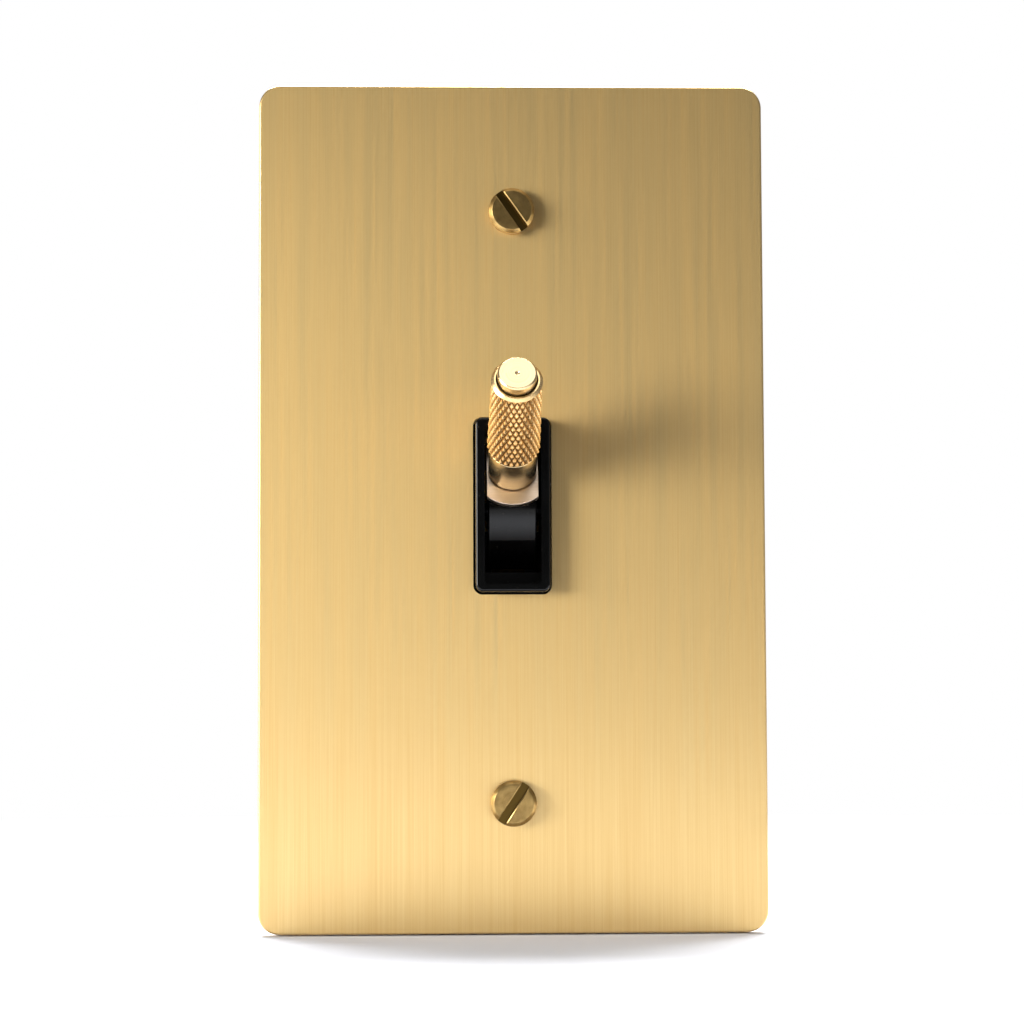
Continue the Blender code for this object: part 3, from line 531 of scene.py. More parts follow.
class Solid:
    """A closed shape in the making. Each step's result is a plain mesh at the origin."""

    def __init__(self, name: str, bm: bmesh.types.BMesh) -> None:
        """Take over a bmesh.

        Args:
            name: The piece's name.
            bm: The closed shape.
        """
        bmesh.ops.remove_doubles(bm, verts=bm.verts, dist=1e-8)
        bmesh.ops.recalc_face_normals(bm, faces=bm.faces)
        mesh = bpy.data.meshes.new(name)
        bm.to_mesh(mesh)
        bm.free()
        self.obj = bpy.data.objects.new(name, mesh)
        bpy.context.scene.collection.objects.link(self.obj)

    def settle(self) -> None:
        """Turn what the modifiers make into the plain mesh."""
        graph = bpy.context.evaluated_depsgraph_get()
        mesh = bpy.data.meshes.new_from_object(self.obj.evaluated_get(graph))
        self.obj.modifiers.clear()
        self.obj.data = mesh

    def apply(self, kind: str, **settings: object) -> "Solid":
        """Run one modifier and keep its result.

        Args:
            kind: The modifier's type.
            **settings: Its settings.

        Returns:
            This solid.
        """
        modifier = self.obj.modifiers.new(kind, kind)
        for name, value in settings.items():
            setattr(modifier, name, value)
        self.settle()
        return self

    def combine(self, operation: str, others: Iterable["Solid"]) -> "Solid":
        """Run an exact Boolean with each other solid, which is used up.

        Args:
            operation: DIFFERENCE, UNION or INTERSECT.
            others: The other solids.

        Returns:
            This solid.
        """
        for other in others:
            self.apply("BOOLEAN", operation=operation, solver="EXACT", object=other.obj)
            bpy.data.objects.remove(other.obj)
        return self

    def cut(self, *others: "Solid") -> "Solid":
        """Take the others away from this solid."""
        return self.combine("DIFFERENCE", others)

    def join(self, *others: "Solid") -> "Solid":
        """Add the others to this solid."""
        return self.combine("UNION", others)

    def within(self, other: "Solid") -> "Solid":
        """Keep only what lies inside the other solid."""
        return self.combine("INTERSECT", [other])

    def soften(self, width: float, segments: int = 2, angle: float = 40) -> "Solid":
        """Round the edges sharper than an angle in degrees."""
        return self.apply(
            "BEVEL",
            width=width,
            segments=segments,
            limit_method="ANGLE",
            angle_limit=radians(angle),
            use_clamp_overlap=True,
            miter_outer="MITER_ARC",
        )

    def place(self, matrix: Matrix) -> "Solid":
        """Move the mesh itself, so that the object stays at the origin."""
        self.obj.data.transform(matrix)
        return self

    def face_grain(self) -> "Solid":
        """Give flat pieces a grain map whose U runs along X, or along Y on the side faces."""
        points, normals, _ = self.corner_arrays()
        side = np.abs(normals[:, 0]) > 0.7
        end = np.abs(normals[:, 2]) > 0.7
        u = np.where(side, points[:, 1], points[:, 0])
        v = np.where(end, points[:, 1], points[:, 2])
        return self.write_grain(u / MM, v / MM)

    def turned_grain(self, axis: Matrix) -> "Solid":
        """Give a turned piece a grain map whose U runs along its profile.

        Args:
            axis: The place of the turning axis, which is its Y.

        Returns:
            This solid.
        """
        points, _, centres = self.corner_arrays()
        inverse = np.array(axis.inverted())
        points = points @ inverse[:3, :3].T + inverse[:3, 3]
        centres = centres @ inverse[:3, :3].T + inverse[:3, 3]
        radius = np.hypot(points[:, 0], points[:, 2])
        middle = np.arctan2(centres[:, 2], centres[:, 0])
        angle = np.arctan2(points[:, 2], points[:, 0])
        off = np.remainder(angle - middle + pi, 2 * pi) - pi
        off[radius < 1e-7] = 0
        # 1.7 keeps U from standing still on a 45 degree chamfer.
        return self.write_grain((1.7 * radius - points[:, 1]) / MM, (middle + off) * 3)

    def corner_arrays(self) -> tuple[np.ndarray, np.ndarray, np.ndarray]:
        """Read each face corner's point, and its face's normal and centre.

        Returns:
            Three arrays with a row for each corner.
        """
        mesh = self.obj.data
        faces, corners = len(mesh.polygons), len(mesh.loops)
        index = np.empty(corners, int)
        mesh.loops.foreach_get("vertex_index", index)
        points = np.empty(len(mesh.vertices) * 3)
        mesh.vertices.foreach_get("co", points)
        totals = np.empty(faces, int)
        mesh.polygons.foreach_get("loop_total", totals)
        normals, centres = np.empty(faces * 3), np.empty(faces * 3)
        mesh.polygons.foreach_get("normal", normals)
        mesh.polygons.foreach_get("center", centres)
        spread = [np.repeat(a.reshape(-1, 3), totals, axis=0) for a in (normals, centres)]
        return points.reshape(-1, 3)[index], spread[0], spread[1]

    def write_grain(self, u: np.ndarray, v: np.ndarray) -> "Solid":
        """Store the grain map, in millimetres."""
        mesh = self.obj.data
        for old in list(mesh.uv_layers):
            mesh.uv_layers.remove(old)
        layer = mesh.uv_layers.new(name=GRAIN_MAP)
        layer.data.foreach_set("uv", np.stack([u, v], axis=1).astype(np.float32).ravel())
        return self

    def write_groove_shade(self, sunk: np.ndarray) -> "Solid":
        """Mark the corners of sunk faces, which get a painted shade."""
        found = self.obj.data.attributes.new(GROOVE_SHADE, "FLOAT", "CORNER")
        found.data.foreach_set("value", sunk.astype(np.float32))
        return self

    def dress(
        self, finish: Finish, body: str, slot: str, *nodes: str, angle: float = 35, weighted: bool = True
    ) -> bpy.types.Object:
        """Give the piece its finish, shading and place in the frame.

        Args:
            finish: Its material.
            body: The moving body that it rides on.
            slot: The record's material slot; not used.
            *nodes: The CAD nodes that it stands for.
            angle: Edges sharper than this, in degrees, stay crisp.
            weighted: Whether big flat faces hold their shading flat.

        Returns:
            The finished object.
        """
        mesh = self.obj.data
        mesh.materials.clear()
        mesh.materials.append(finish.material())
        mesh.shade_smooth()
        mesh.set_sharp_from_angle(angle=radians(angle))
        if weighted:
            self.apply("WEIGHTED_NORMAL", keep_sharp=True, weight=50)
        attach(self.obj, body)
        if nodes:
            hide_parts(*nodes)
        log.info("%s: %d faces, %s", self.obj.name, len(self.obj.data.polygons), finish.name)
        return self.obj


def stack(name: str, rings: Sequence[Sequence[Triple]]) -> Solid:
    """Skin a row of rings of equal length and cap both ends.

    Args:
        name: The solid's name.
        rings: The rings. One of a single repeated point makes a pole.

    Returns:
        The solid.
    """
    bm = bmesh.new()
    loops = [[bm.verts.new(point) for point in ring] for ring in rings]
    for lower, upper in zip(loops, loops[1:]):
        for i in range(len(lower)):
            j = (i + 1) % len(lower)
            bm.faces.new((lower[i], lower[j], upper[j], upper[i]))
    bm.faces.new(loops[0])
    bm.faces.new(reversed(loops[-1]))
    bmesh.ops.remove_doubles(bm, verts=bm.verts, dist=1e-8)
    bmesh.ops.dissolve_degenerate(bm, edges=bm.edges, dist=1e-8)
    return Solid(name, bm)


def lathe(name: str, profile: Sequence[Pair], segments: int = 64, closed: bool = False) -> Solid:
    """Turn a profile about the Y axis.

    Args:
        name: The solid's name.
        profile: (distance along Y, radius) of each point.
        segments: How many flats the turn has.
        closed: Whether the profile is a loop that stays clear of the axis.

    Returns:
        The solid.
    """
    bm = bmesh.new()
    turns = [2 * pi * i / segments for i in range(segments)]
    loops = []
    for y, r in profile:
        spots = turns if r > 0 else turns[:1]
        loops.append([bm.verts.new((r * cos(a), y, r * sin(a))) for a in spots])
    pairs = list(zip(loops, loops[1:])) + ([(loops[-1], loops[0])] if closed else [])
    for lower, upper in pairs:
        for i in range(segments):
            j = (i + 1) % segments
            spots = ((lower, i), (lower, j), (upper, j), (upper, i))
            ring = [loop[k % len(loop)] for loop, k in spots]
            bm.faces.new(list(dict.fromkeys(ring)))
    if not closed:
        for loop in (loops[0], loops[-1]):
            if len(loop) > 1:
                bm.faces.new(loop)
    return Solid(name, bm)


def rod(name: str, radius: float, span: Pair, place: Matrix = HERE, segments: int = 48) -> Solid:
    """A plain round cutter along the place's Y axis."""
    profile = [(span[0], 0), (span[0], radius), (span[1], radius), (span[1], 0)]
    return lathe(name, profile, segments).place(place)


def box(name: str, low: Triple, high: Triple, place: Matrix = HERE) -> Solid:
    """A block between two corners."""
    ring = [(low[0], low[2]), (high[0], low[2]), (high[0], high[2]), (low[0], high[2])]
    return stack(name, [[(x, y, z) for x, z in ring] for y in (low[1], high[1])]).place(place)


def slab(
    name: str, size: Pair, corner: float, levels: Sequence[Pair], at: Pair = (0.0, 0.0), steps: int = 10
) -> Solid:
    """A round-cornered block built up in depth.

    Args:
        name: The solid's name.
        size: Width and height.
        corner: Radius of the corners.
        levels: (y, inset) of each ring from front to back.
        at: x and z of its centre.
        steps: Straight pieces in each corner.

    Returns:
        The solid.
    """
    rings = []
    for y, inset in levels:
        half_w, half_h = size[0] / 2 - inset, size[1] / 2 - inset
        radius = max(corner - inset, 0.00001)
        spots = ((half_w, -half_h), (half_w, half_h), (-half_w, half_h), (-half_w, -half_h))
        outline = filleted([(x, z, radius) for x, z in spots], steps, closed=True)
        rings.append([(at[0] + x, y, at[1] + z) for x, z in outline])
    return stack(name, rings)


def prism_x(name: str, outline: Sequence[Pair], half: float, place: Matrix = HERE) -> Solid:
    """Extrude an outline of (y, z) points evenly to both sides along X."""
    return stack(name, [[(x, y, z) for y, z in outline] for x in (-half, half)]).place(place)


def round_edge(front: float, radius: float, steps: int = 6) -> list[Pair]:
    """The (y, inset) levels of a rounded front edge."""
    turns = [pi / 2 * (1 - i / steps) for i in range(steps + 1)]
    return [(front + radius * (1 - sin(a)), radius * (1 - cos(a))) for a in turns]


def round_mouth(front: float, radius: float, steps: int = 5) -> list[Pair]:
    """The (y, inset) levels of a cutter that leaves a rounded edge round its hole."""
    turns = [pi / 2 * (1 - i / steps) for i in range(steps + 1)]
    flare = [(front + radius * (1 - sin(a)), -radius * (1 - cos(a))) for a in turns]
    return [(front - radius, -radius)] + [(y, -radius - inset) for y, inset in flare]


def refined(node: str, name: str, edge: float) -> Solid:
    """Make a merged copy of a CAD node with its edges rounded.

    Args:
        node: The CAD node.
        name: The new piece's name.
        edge: Width of the rounding.

    Returns:
        The solid.
    """
    bm = bmesh.new()
    bm.from_mesh(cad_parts[node].data)
    bmesh.ops.remove_doubles(bm, verts=bm.verts, dist=1e-6)
    bmesh.ops.dissolve_limit(bm, angle_limit=radians(1), verts=bm.verts, edges=bm.edges)
    solid = Solid(name, bm)
    for attribute in ("custom_normal", "sharp_edge", "sharp_face"):
        found = solid.obj.data.attributes.get(attribute)
        if found:
            solid.obj.data.attributes.remove(found)
    return solid.soften(edge)


# ---------------------------------------------------------------- node trees for repeats


def open_tree(name: str, sizes: Iterable[str]) -> bpy.types.NodeTree:
    """Start a geometry node tree with its inputs and its output.

    Args:
        name: The tree's name.
        sizes: Names of its number inputs.

    Returns:
        The tree.
    """
    tree = bpy.data.node_groups.new(name, "GeometryNodeTree")
    face = tree.interface
    face.new_socket("Geometry", in_out="INPUT", socket_type="NodeSocketGeometry")
    for size in sizes:
        face.new_socket(size, in_out="INPUT", socket_type="NodeSocketFloat")
    face.new_socket("Material", in_out="INPUT", socket_type="NodeSocketMaterial")
    face.new_socket("Geometry", in_out="OUTPUT", socket_type="NodeSocketGeometry")
    return tree


def close_tree(tree: bpy.types.NodeTree, shape: bpy.types.NodeSocket, material: bpy.types.NodeSocket) -> None:
    """End a geometry node tree: make its copies real and give them their material.

    Args:
        tree: The tree.
        shape: The finished geometry.
        material: The material input.
    """
    real = add_node(tree, "GeometryNodeRealizeInstances", None, {"Geometry": shape}).outputs[0]
    dressing = {"Geometry": real, "Material": material}
    dressed = add_node(tree, "GeometryNodeSetMaterial", None, dressing).outputs[0]
    add_node(tree, "NodeGroupOutput", None, {"Geometry": dressed})


class ReliefTree:
    """Geometry nodes that press a repeating pattern into a turned surface, about its Y axis."""

    def __init__(self, name: str, sizes: Iterable[str]) -> None:
        """Build the tree.

        Args:
            name: The tree's name.
            sizes: Names of the pattern's own number inputs.
        """
        self.tree = open_tree(name, ("Outside of", "Depth", "From", "To", "Fade", *sizes))
        self.given = self.tree.nodes.new("NodeGroupInput").outputs
        self.build()

    def math(self, operation: str, *values: object) -> bpy.types.NodeSocket:
        """Add one math step and return its result."""
        step = add_node(self.tree, "ShaderNodeMath", {"operation": operation}, dict(enumerate(values)))
        return step.outputs[0]

    def height(self, turn: bpy.types.NodeSocket, along: bpy.types.NodeSocket) -> bpy.types.NodeSocket:
        """The pattern's height.

        Args:
            turn: The angle about the axis, in turns.
            along: The distance along the axis.

        Returns:
            1 at the surface and 0 at the bottom of a groove.
        """
        raise NotImplementedError

    def build(self) -> None:
        """Add the nodes that move the surface and mark its grooves for painted shade."""
        tree, given = self.tree, self.given
        position = add_node(tree, "GeometryNodeInputPosition").outputs[0]
        split = add_node(tree, "ShaderNodeSeparateXYZ", None, {0: position}).outputs
        turn = self.math("DIVIDE", self.math("ARCTAN2", split["Z"], split["X"]), 2 * pi)
        flat = add_node(tree, "ShaderNodeVectorMath", {"operation": "MULTIPLY"}, {0: position, 1: (1, 0, 1)})
        outward = add_node(tree, "ShaderNodeVectorMath", {"operation": "NORMALIZE"}, {0: flat.outputs[0]})
        radius = add_node(tree, "ShaderNodeVectorMath", {"operation": "LENGTH"}, {0: flat.outputs[0]})
        groove_shade = self.math("SUBTRACT", 1.0, self.height(turn, split["Y"]))
        into = self.math("SUBTRACT", split["Y"], given["From"])
        left = self.math("SUBTRACT", given["To"], split["Y"])
        share = self.math("DIVIDE", self.math("MINIMUM", into, left), given["Fade"])
        ends = ramp(tree, share, smooth=True)
        outer = self.math("GREATER_THAN", radius.outputs["Value"], given["Outside of"])
        pressed = self.math("MULTIPLY", self.math("MULTIPLY", groove_shade, ends), outer)
        move = self.math("MULTIPLY", self.math("MULTIPLY", pressed, given["Depth"]), -1.0)
        scaled = {0: outward.outputs[0], "Scale": move}
        offset = add_node(tree, "ShaderNodeVectorMath", {"operation": "SCALE"}, scaled)
        # The groove depth is stored as the mask of the painted shade.
        noted = add_node(
            tree,
            "GeometryNodeStoreNamedAttribute",
            {"data_type": "FLOAT", "domain": "POINT"},
            {"Geometry": given["Geometry"], "Name": GROOVE_SHADE, "Value": pressed},
        )
        moving = {"Geometry": noted.outputs[0], "Offset": offset.outputs[0]}
        moved = add_node(tree, "GeometryNodeSetPosition", None, moving)
        close_tree(tree, moved.outputs[0], given["Material"])


class KnurlTree(ReliefTree):
    """Diamond knurl: two sets of slanted grooves that cross."""

    def __init__(self) -> None:
        """Build the tree with its two sizes."""
        super().__init__("diamond knurl", ("Around", "Lead"))

    def height(self, turn: bpy.types.NodeSocket, along: bpy.types.NodeSocket) -> bpy.types.NodeSocket:
        """The lower of the two groove sets, with softly rounded points.

        Args:
            turn: The angle about the axis, in turns.
            along: The distance along the axis.

        Returns:
            1 on a diamond's point and 0 at the bottom of a groove.
        """
        across = self.math("MULTIPLY", turn, self.given["Around"])
        up = self.math("DIVIDE", along, self.given["Lead"])
        ridges = [
            self.math("MULTIPLY", self.math("PINGPONG", self.math(way, across, up), 0.5), 2.0)
            for way in ("ADD", "SUBTRACT")
        ]
        return self.math("SMOOTH_MIN", ridges[0], ridges[1], 0.25)


class ThreadTree(ReliefTree):
    """Screw thread: one groove that winds round the shank."""

    def __init__(self) -> None:
        """Build the tree with its one size."""
        super().__init__("screw thread", ("Pitch",))

    def height(self, turn: bpy.types.NodeSocket, along: bpy.types.NodeSocket) -> bpy.types.NodeSocket:
        """A thread with a narrow flat crest.

        Args:
            turn: The angle about the axis, in turns.
            along: The distance along the axis.

        Returns:
            1 on the crest and 0 at the root.
        """
        wound = self.math("ADD", self.math("DIVIDE", along, self.given["Pitch"]), turn)
        ramp = self.math("MULTIPLY", self.math("PINGPONG", wound, 0.5), 2.3)
        return self.math("MINIMUM", ramp, 1.0)


class FourCornersTree:
    """Geometry nodes that repeat a piece at the four corners of an upright rectangle."""

    def __init__(self) -> None:
        """Build the tree."""
        self.tree = open_tree("four corners", ("Width", "Height"))
        given = self.tree.nodes.new("NodeGroupInput").outputs
        grid = {"Size X": given["Width"], "Size Y": given["Height"], "Vertices X": 2, "Vertices Y": 2}
        corners = add_node(self.tree, "GeometryNodeMeshGrid", None, grid).outputs["Mesh"]
        raised = {"Geometry": corners, "Rotation": (pi / 2, 0, 0)}
        upright = add_node(self.tree, "GeometryNodeTransform", None, raised).outputs[0]
        spread = {"Points": upright, "Instance": given["Geometry"]}
        copies = add_node(self.tree, "GeometryNodeInstanceOnPoints", None, spread).outputs[0]
        close_tree(self.tree, copies, given["Material"])


def run_tree(solid: Solid, tree: bpy.types.NodeTree, values: dict[str, object]) -> Solid:
    """Run a solid through a geometry node tree and keep the plain result.

    Args:
        solid: What the tree works on.
        tree: The tree.
        values: Its inputs by name.

    Returns:
        The same solid.
    """
    modifier = solid.obj.modifiers.new(tree.name, "NODES")
    modifier.node_group = tree
    for item in tree.interface.items_tree:
        if item.in_out == "INPUT" and item.name in values:
            modifier[item.identifier] = values[item.name]
    solid.settle()
    return solid


def even(start: float, end: float, step: float) -> list[float]:
    """Evenly spaced distances from start to end, at most one step apart."""
    count = max(1, round(abs(end - start) / step))
    return [start + (end - start) * i / count for i in range(count + 1)]


@dataclass
class ThreadedShank:
    """The threaded part of a screw or stud, on the Y axis."""

    tree: ThreadTree
    start: float
    end: float
    radius: float = THREAD_R
    depth: float = THREAD_DEPTH
    pitch: float = THREAD_PITCH
    point: float = 0.0009
    rows: int = 8
    segments: int = 32

    def build(self, name: str, finish: Finish, place: Matrix) -> Solid:
        """Turn the shank and wind its thread.

        Args:
            name: The solid's name.
            finish: Its material.
            place: Where its Y axis lies.

        Returns:
            The threaded solid.
        """
        body_end = self.end - self.point
        rows = even(self.start, body_end, self.pitch / self.rows)
        taper = even(body_end, self.end, self.pitch / self.rows)[1:]
        profile = [(self.start, 0.0)] + [(y, self.radius) for y in rows]
        profile += [(y, self.radius - (y - body_end) * 0.9) for y in taper] + [(self.end, 0.0)]
        shank = lathe(name, profile, self.segments)
        sizes = {
            "Outside of": self.radius * 0.4,
            "Depth": self.depth,
            "From": self.start - self.pitch,
            "To": self.end + self.pitch,
            "Fade": self.pitch,
            "Pitch": self.pitch,
            "Material": finish.material(),
        }
        return run_tree(shank, self.tree.tree, sizes).place(place)


# ---------------------------------------------------------------- sub-assemblies


@dataclass
class CoverPlate:
    """The solid brass plate with its softened front edge, opening, screw holes and stud pockets."""

    size: Pair = (0.0713, 0.1195)
    thick: float = 0.003
    corner: float = 0.003
    edge: float = 0.0003
    back_edge: float = 0.00012
    opening: Pair = (0.01105, 0.025)
    opening_corner: float = 0.0013
    opening_edge: float = 0.00015
    screw_hole_r: float = 0.00225
    pocket_r: float = 0.0028
    pocket_depth: float = 0.0015

    def build(self) -> None:
        """Cut the plate from one block and dress it."""
        back = [(-y, inset) for y, inset in reversed(round_edge(0, self.back_edge, 2))]
        sides = round_edge(-self.thick, self.edge, 8) + back
        plate = slab("cover_plate", self.size, self.corner, sides, steps=16)
        mouth = round_mouth(-self.thick, self.opening_edge, 3) + [(0.001, 0.0)]
        plate.cut(slab("opening", self.opening, self.opening_corner, mouth))
        for side in Side:
            at = Matrix.Translation((0, 0, side.value * BOX_SCREW_PITCH / 2))
            plate.cut(rod("screw_hole", self.screw_hole_r, (-0.004, 0.001), at))
            at = Matrix.Translation((0, 0, side.value * PLATE_STUD_PITCH / 2))
            plate.cut(rod("stud_pocket", self.pocket_r, (-self.pocket_depth, 0.001), at))
        plate.face_grain().dress(PLATE_BRASS, "base", "plate_brass", "wall_plate")


@dataclass
class CheeseHeadScrew:
    """A slotted plate screw: turned head with a chamfer, and a thread through to the wall box."""

    side: Side
    slot_turn: float
    thread: ThreadTree
    seat: float = -0.0033
    head_r: float = 0.0032
    head_high: float = 0.0016
    chamfer: float = 0.00045
    slot_width: float = 0.0012
    slot_depth: float = 0.0009
    slot_mouth: float = 0.00012
    end: float = 0.020

    def build(self) -> None:
        """Turn the head, saw its slot and add the thread."""
        name = self.side.name.lower()
        at = Matrix.Translation((0, 0, self.side.value * BOX_SCREW_PITCH / 2))
        front = self.seat - self.head_high
        rim = self.head_r - self.chamfer
        face = [(front, rim * i / 6) for i in range(6)]
        corners = [
            (front, rim * 5 / 6, 0),
            (front, rim, 0.00008),
            (front + self.chamfer, self.head_r, 0.00012),
            (self.seat, self.head_r, 0.00008),
            (self.seat, THREAD_R, 0.0),
            (self.seat + 0.0005, THREAD_R, 0),
        ]
        profile = face + filleted(corners)[1:] + [(self.seat + 0.0005, 0.0)]
        head = lathe(f"{name}_plate_screw_head", profile, 96)
        half, reach, mouth = self.slot_width / 2, self.head_r + MM, self.slot_mouth
        turn = Matrix.Rotation(self.slot_turn, 4, "Y")
        steps = [(-mouth, half + 2 * mouth), (mouth, half), (self.slot_depth, half)]
        section = [(y, -z) for y, z in steps[::-1]] + steps
        slot = stack("slot", [[(x, front + y, z) for y, z in section] for x in (-reach, reach)])
        head.cut(slot.place(turn))
        head.soften(0.00006, 1, 60).place(at).turned_grain(at)
        # The slot's faces are marked for painted shade.
        centres = head.corner_arrays()[2] - np.array(at.translation)
        across = centres[:, 0] * sin(self.slot_turn) + centres[:, 2] * cos(self.slot_turn)
        sunk = (np.abs(across) <= half) & (centres[:, 1] > front + 0.00005)
        head.write_groove_shade(sunk)
        node = f"plate_screw_{name}"
        head.dress(SCREW_BRASS, "base", "aged_brass", node)
        shank = ThreadedShank(self.thread, self.seat + 0.0004, self.end)
        shank.build(f"{name}_plate_screw_thread", SCREW_BRASS, at).turned_grain(at).dress(
            SCREW_BRASS, "base", "aged_brass", node, angle=50, weighted=False
        )


@dataclass
class StudSet:
    """A stud in the plate's back with its split washer and nut, which hold the plate to the strap."""

    side: Side
    thread: ThreadTree
    head_r: float = 0.0025
    head_high: float = 0.0009
    end: float = 0.008
    nut_front: float = 0.0033
    nut_flats: float = 0.00635
    nut_high: float = 0.0027

    def build(self) -> None:
        """Make the stud, the washer and the nut."""
        name = self.side.name.lower()
        at = Matrix.Translation((0, 0, self.side.value * PLATE_STUD_PITCH / 2))
        corners = [
            (-self.head_high - GAP, 0, 0),
            (-self.head_high - GAP, self.head_r, 0.00015),
            (-GAP, self.head_r, 0.00008),
            (-GAP, 0, 0),
        ]
        head = lathe(f"{name}_stud_head", filleted(corners), 48).place(at)
        head.dress(STRIP_BRASS, "base", "strip_brass", f"plate_stud_{name}")
        shank = ThreadedShank(self.thread, -GAP * 1.5, self.end).build(f"{name}_stud_thread", STRIP_BRASS, at)
        shank.dress(STRIP_BRASS, "base", "strip_brass", f"plate_stud_{name}", angle=50, weighted=False)
        washer = refined(f"stud_washer_{name}", f"{name}_split_washer", 0.00012)
        washer.dress(SPRING_STEEL, "base", "spring_steel", f"stud_washer_{name}")
        self.build_nut(name, at)

    def build_nut(self, name: str, at: Matrix) -> None:
        """Cut a hexagon nut with chamfered corners.

        Args:
            name: Upper or lower.
            at: The stud's axis.
        """
        corner, front = self.nut_flats / sqrt(3), self.nut_front
        back = front + self.nut_high
        ring = [(corner * cos(pi / 3 * i), corner * sin(pi / 3 * i)) for i in range(6)]
        nut = stack(f"{name}_stud_nut", [[(x, y, z) for x, z in ring] for y in (front, back)])
        drop, flat = 0.0004, self.nut_flats / 2 * 0.97
        bevel = [(front, 0), (front, flat), (front + drop, corner + 0.0001), (back - drop, corner + 0.0001)]
        nut.within(lathe("chamfer", bevel + [(back, flat), (back, 0)], 72))
        sink = CLEAR_R + 0.0003
        bore = [
            (front - 0.0001, 0),
            (front - 0.0001, sink),
            (front + 0.0003, CLEAR_R),
            (back - 0.0003, CLEAR_R),
        ]
        nut.cut(lathe("bore", bore + [(back + 0.0001, sink), (back + 0.0001, 0)], 48))
        nut.place(at).soften(0.00005, 1, 25).dress(ZINC_STEEL, "base", "zinc_steel", f"stud_nut_{name}")


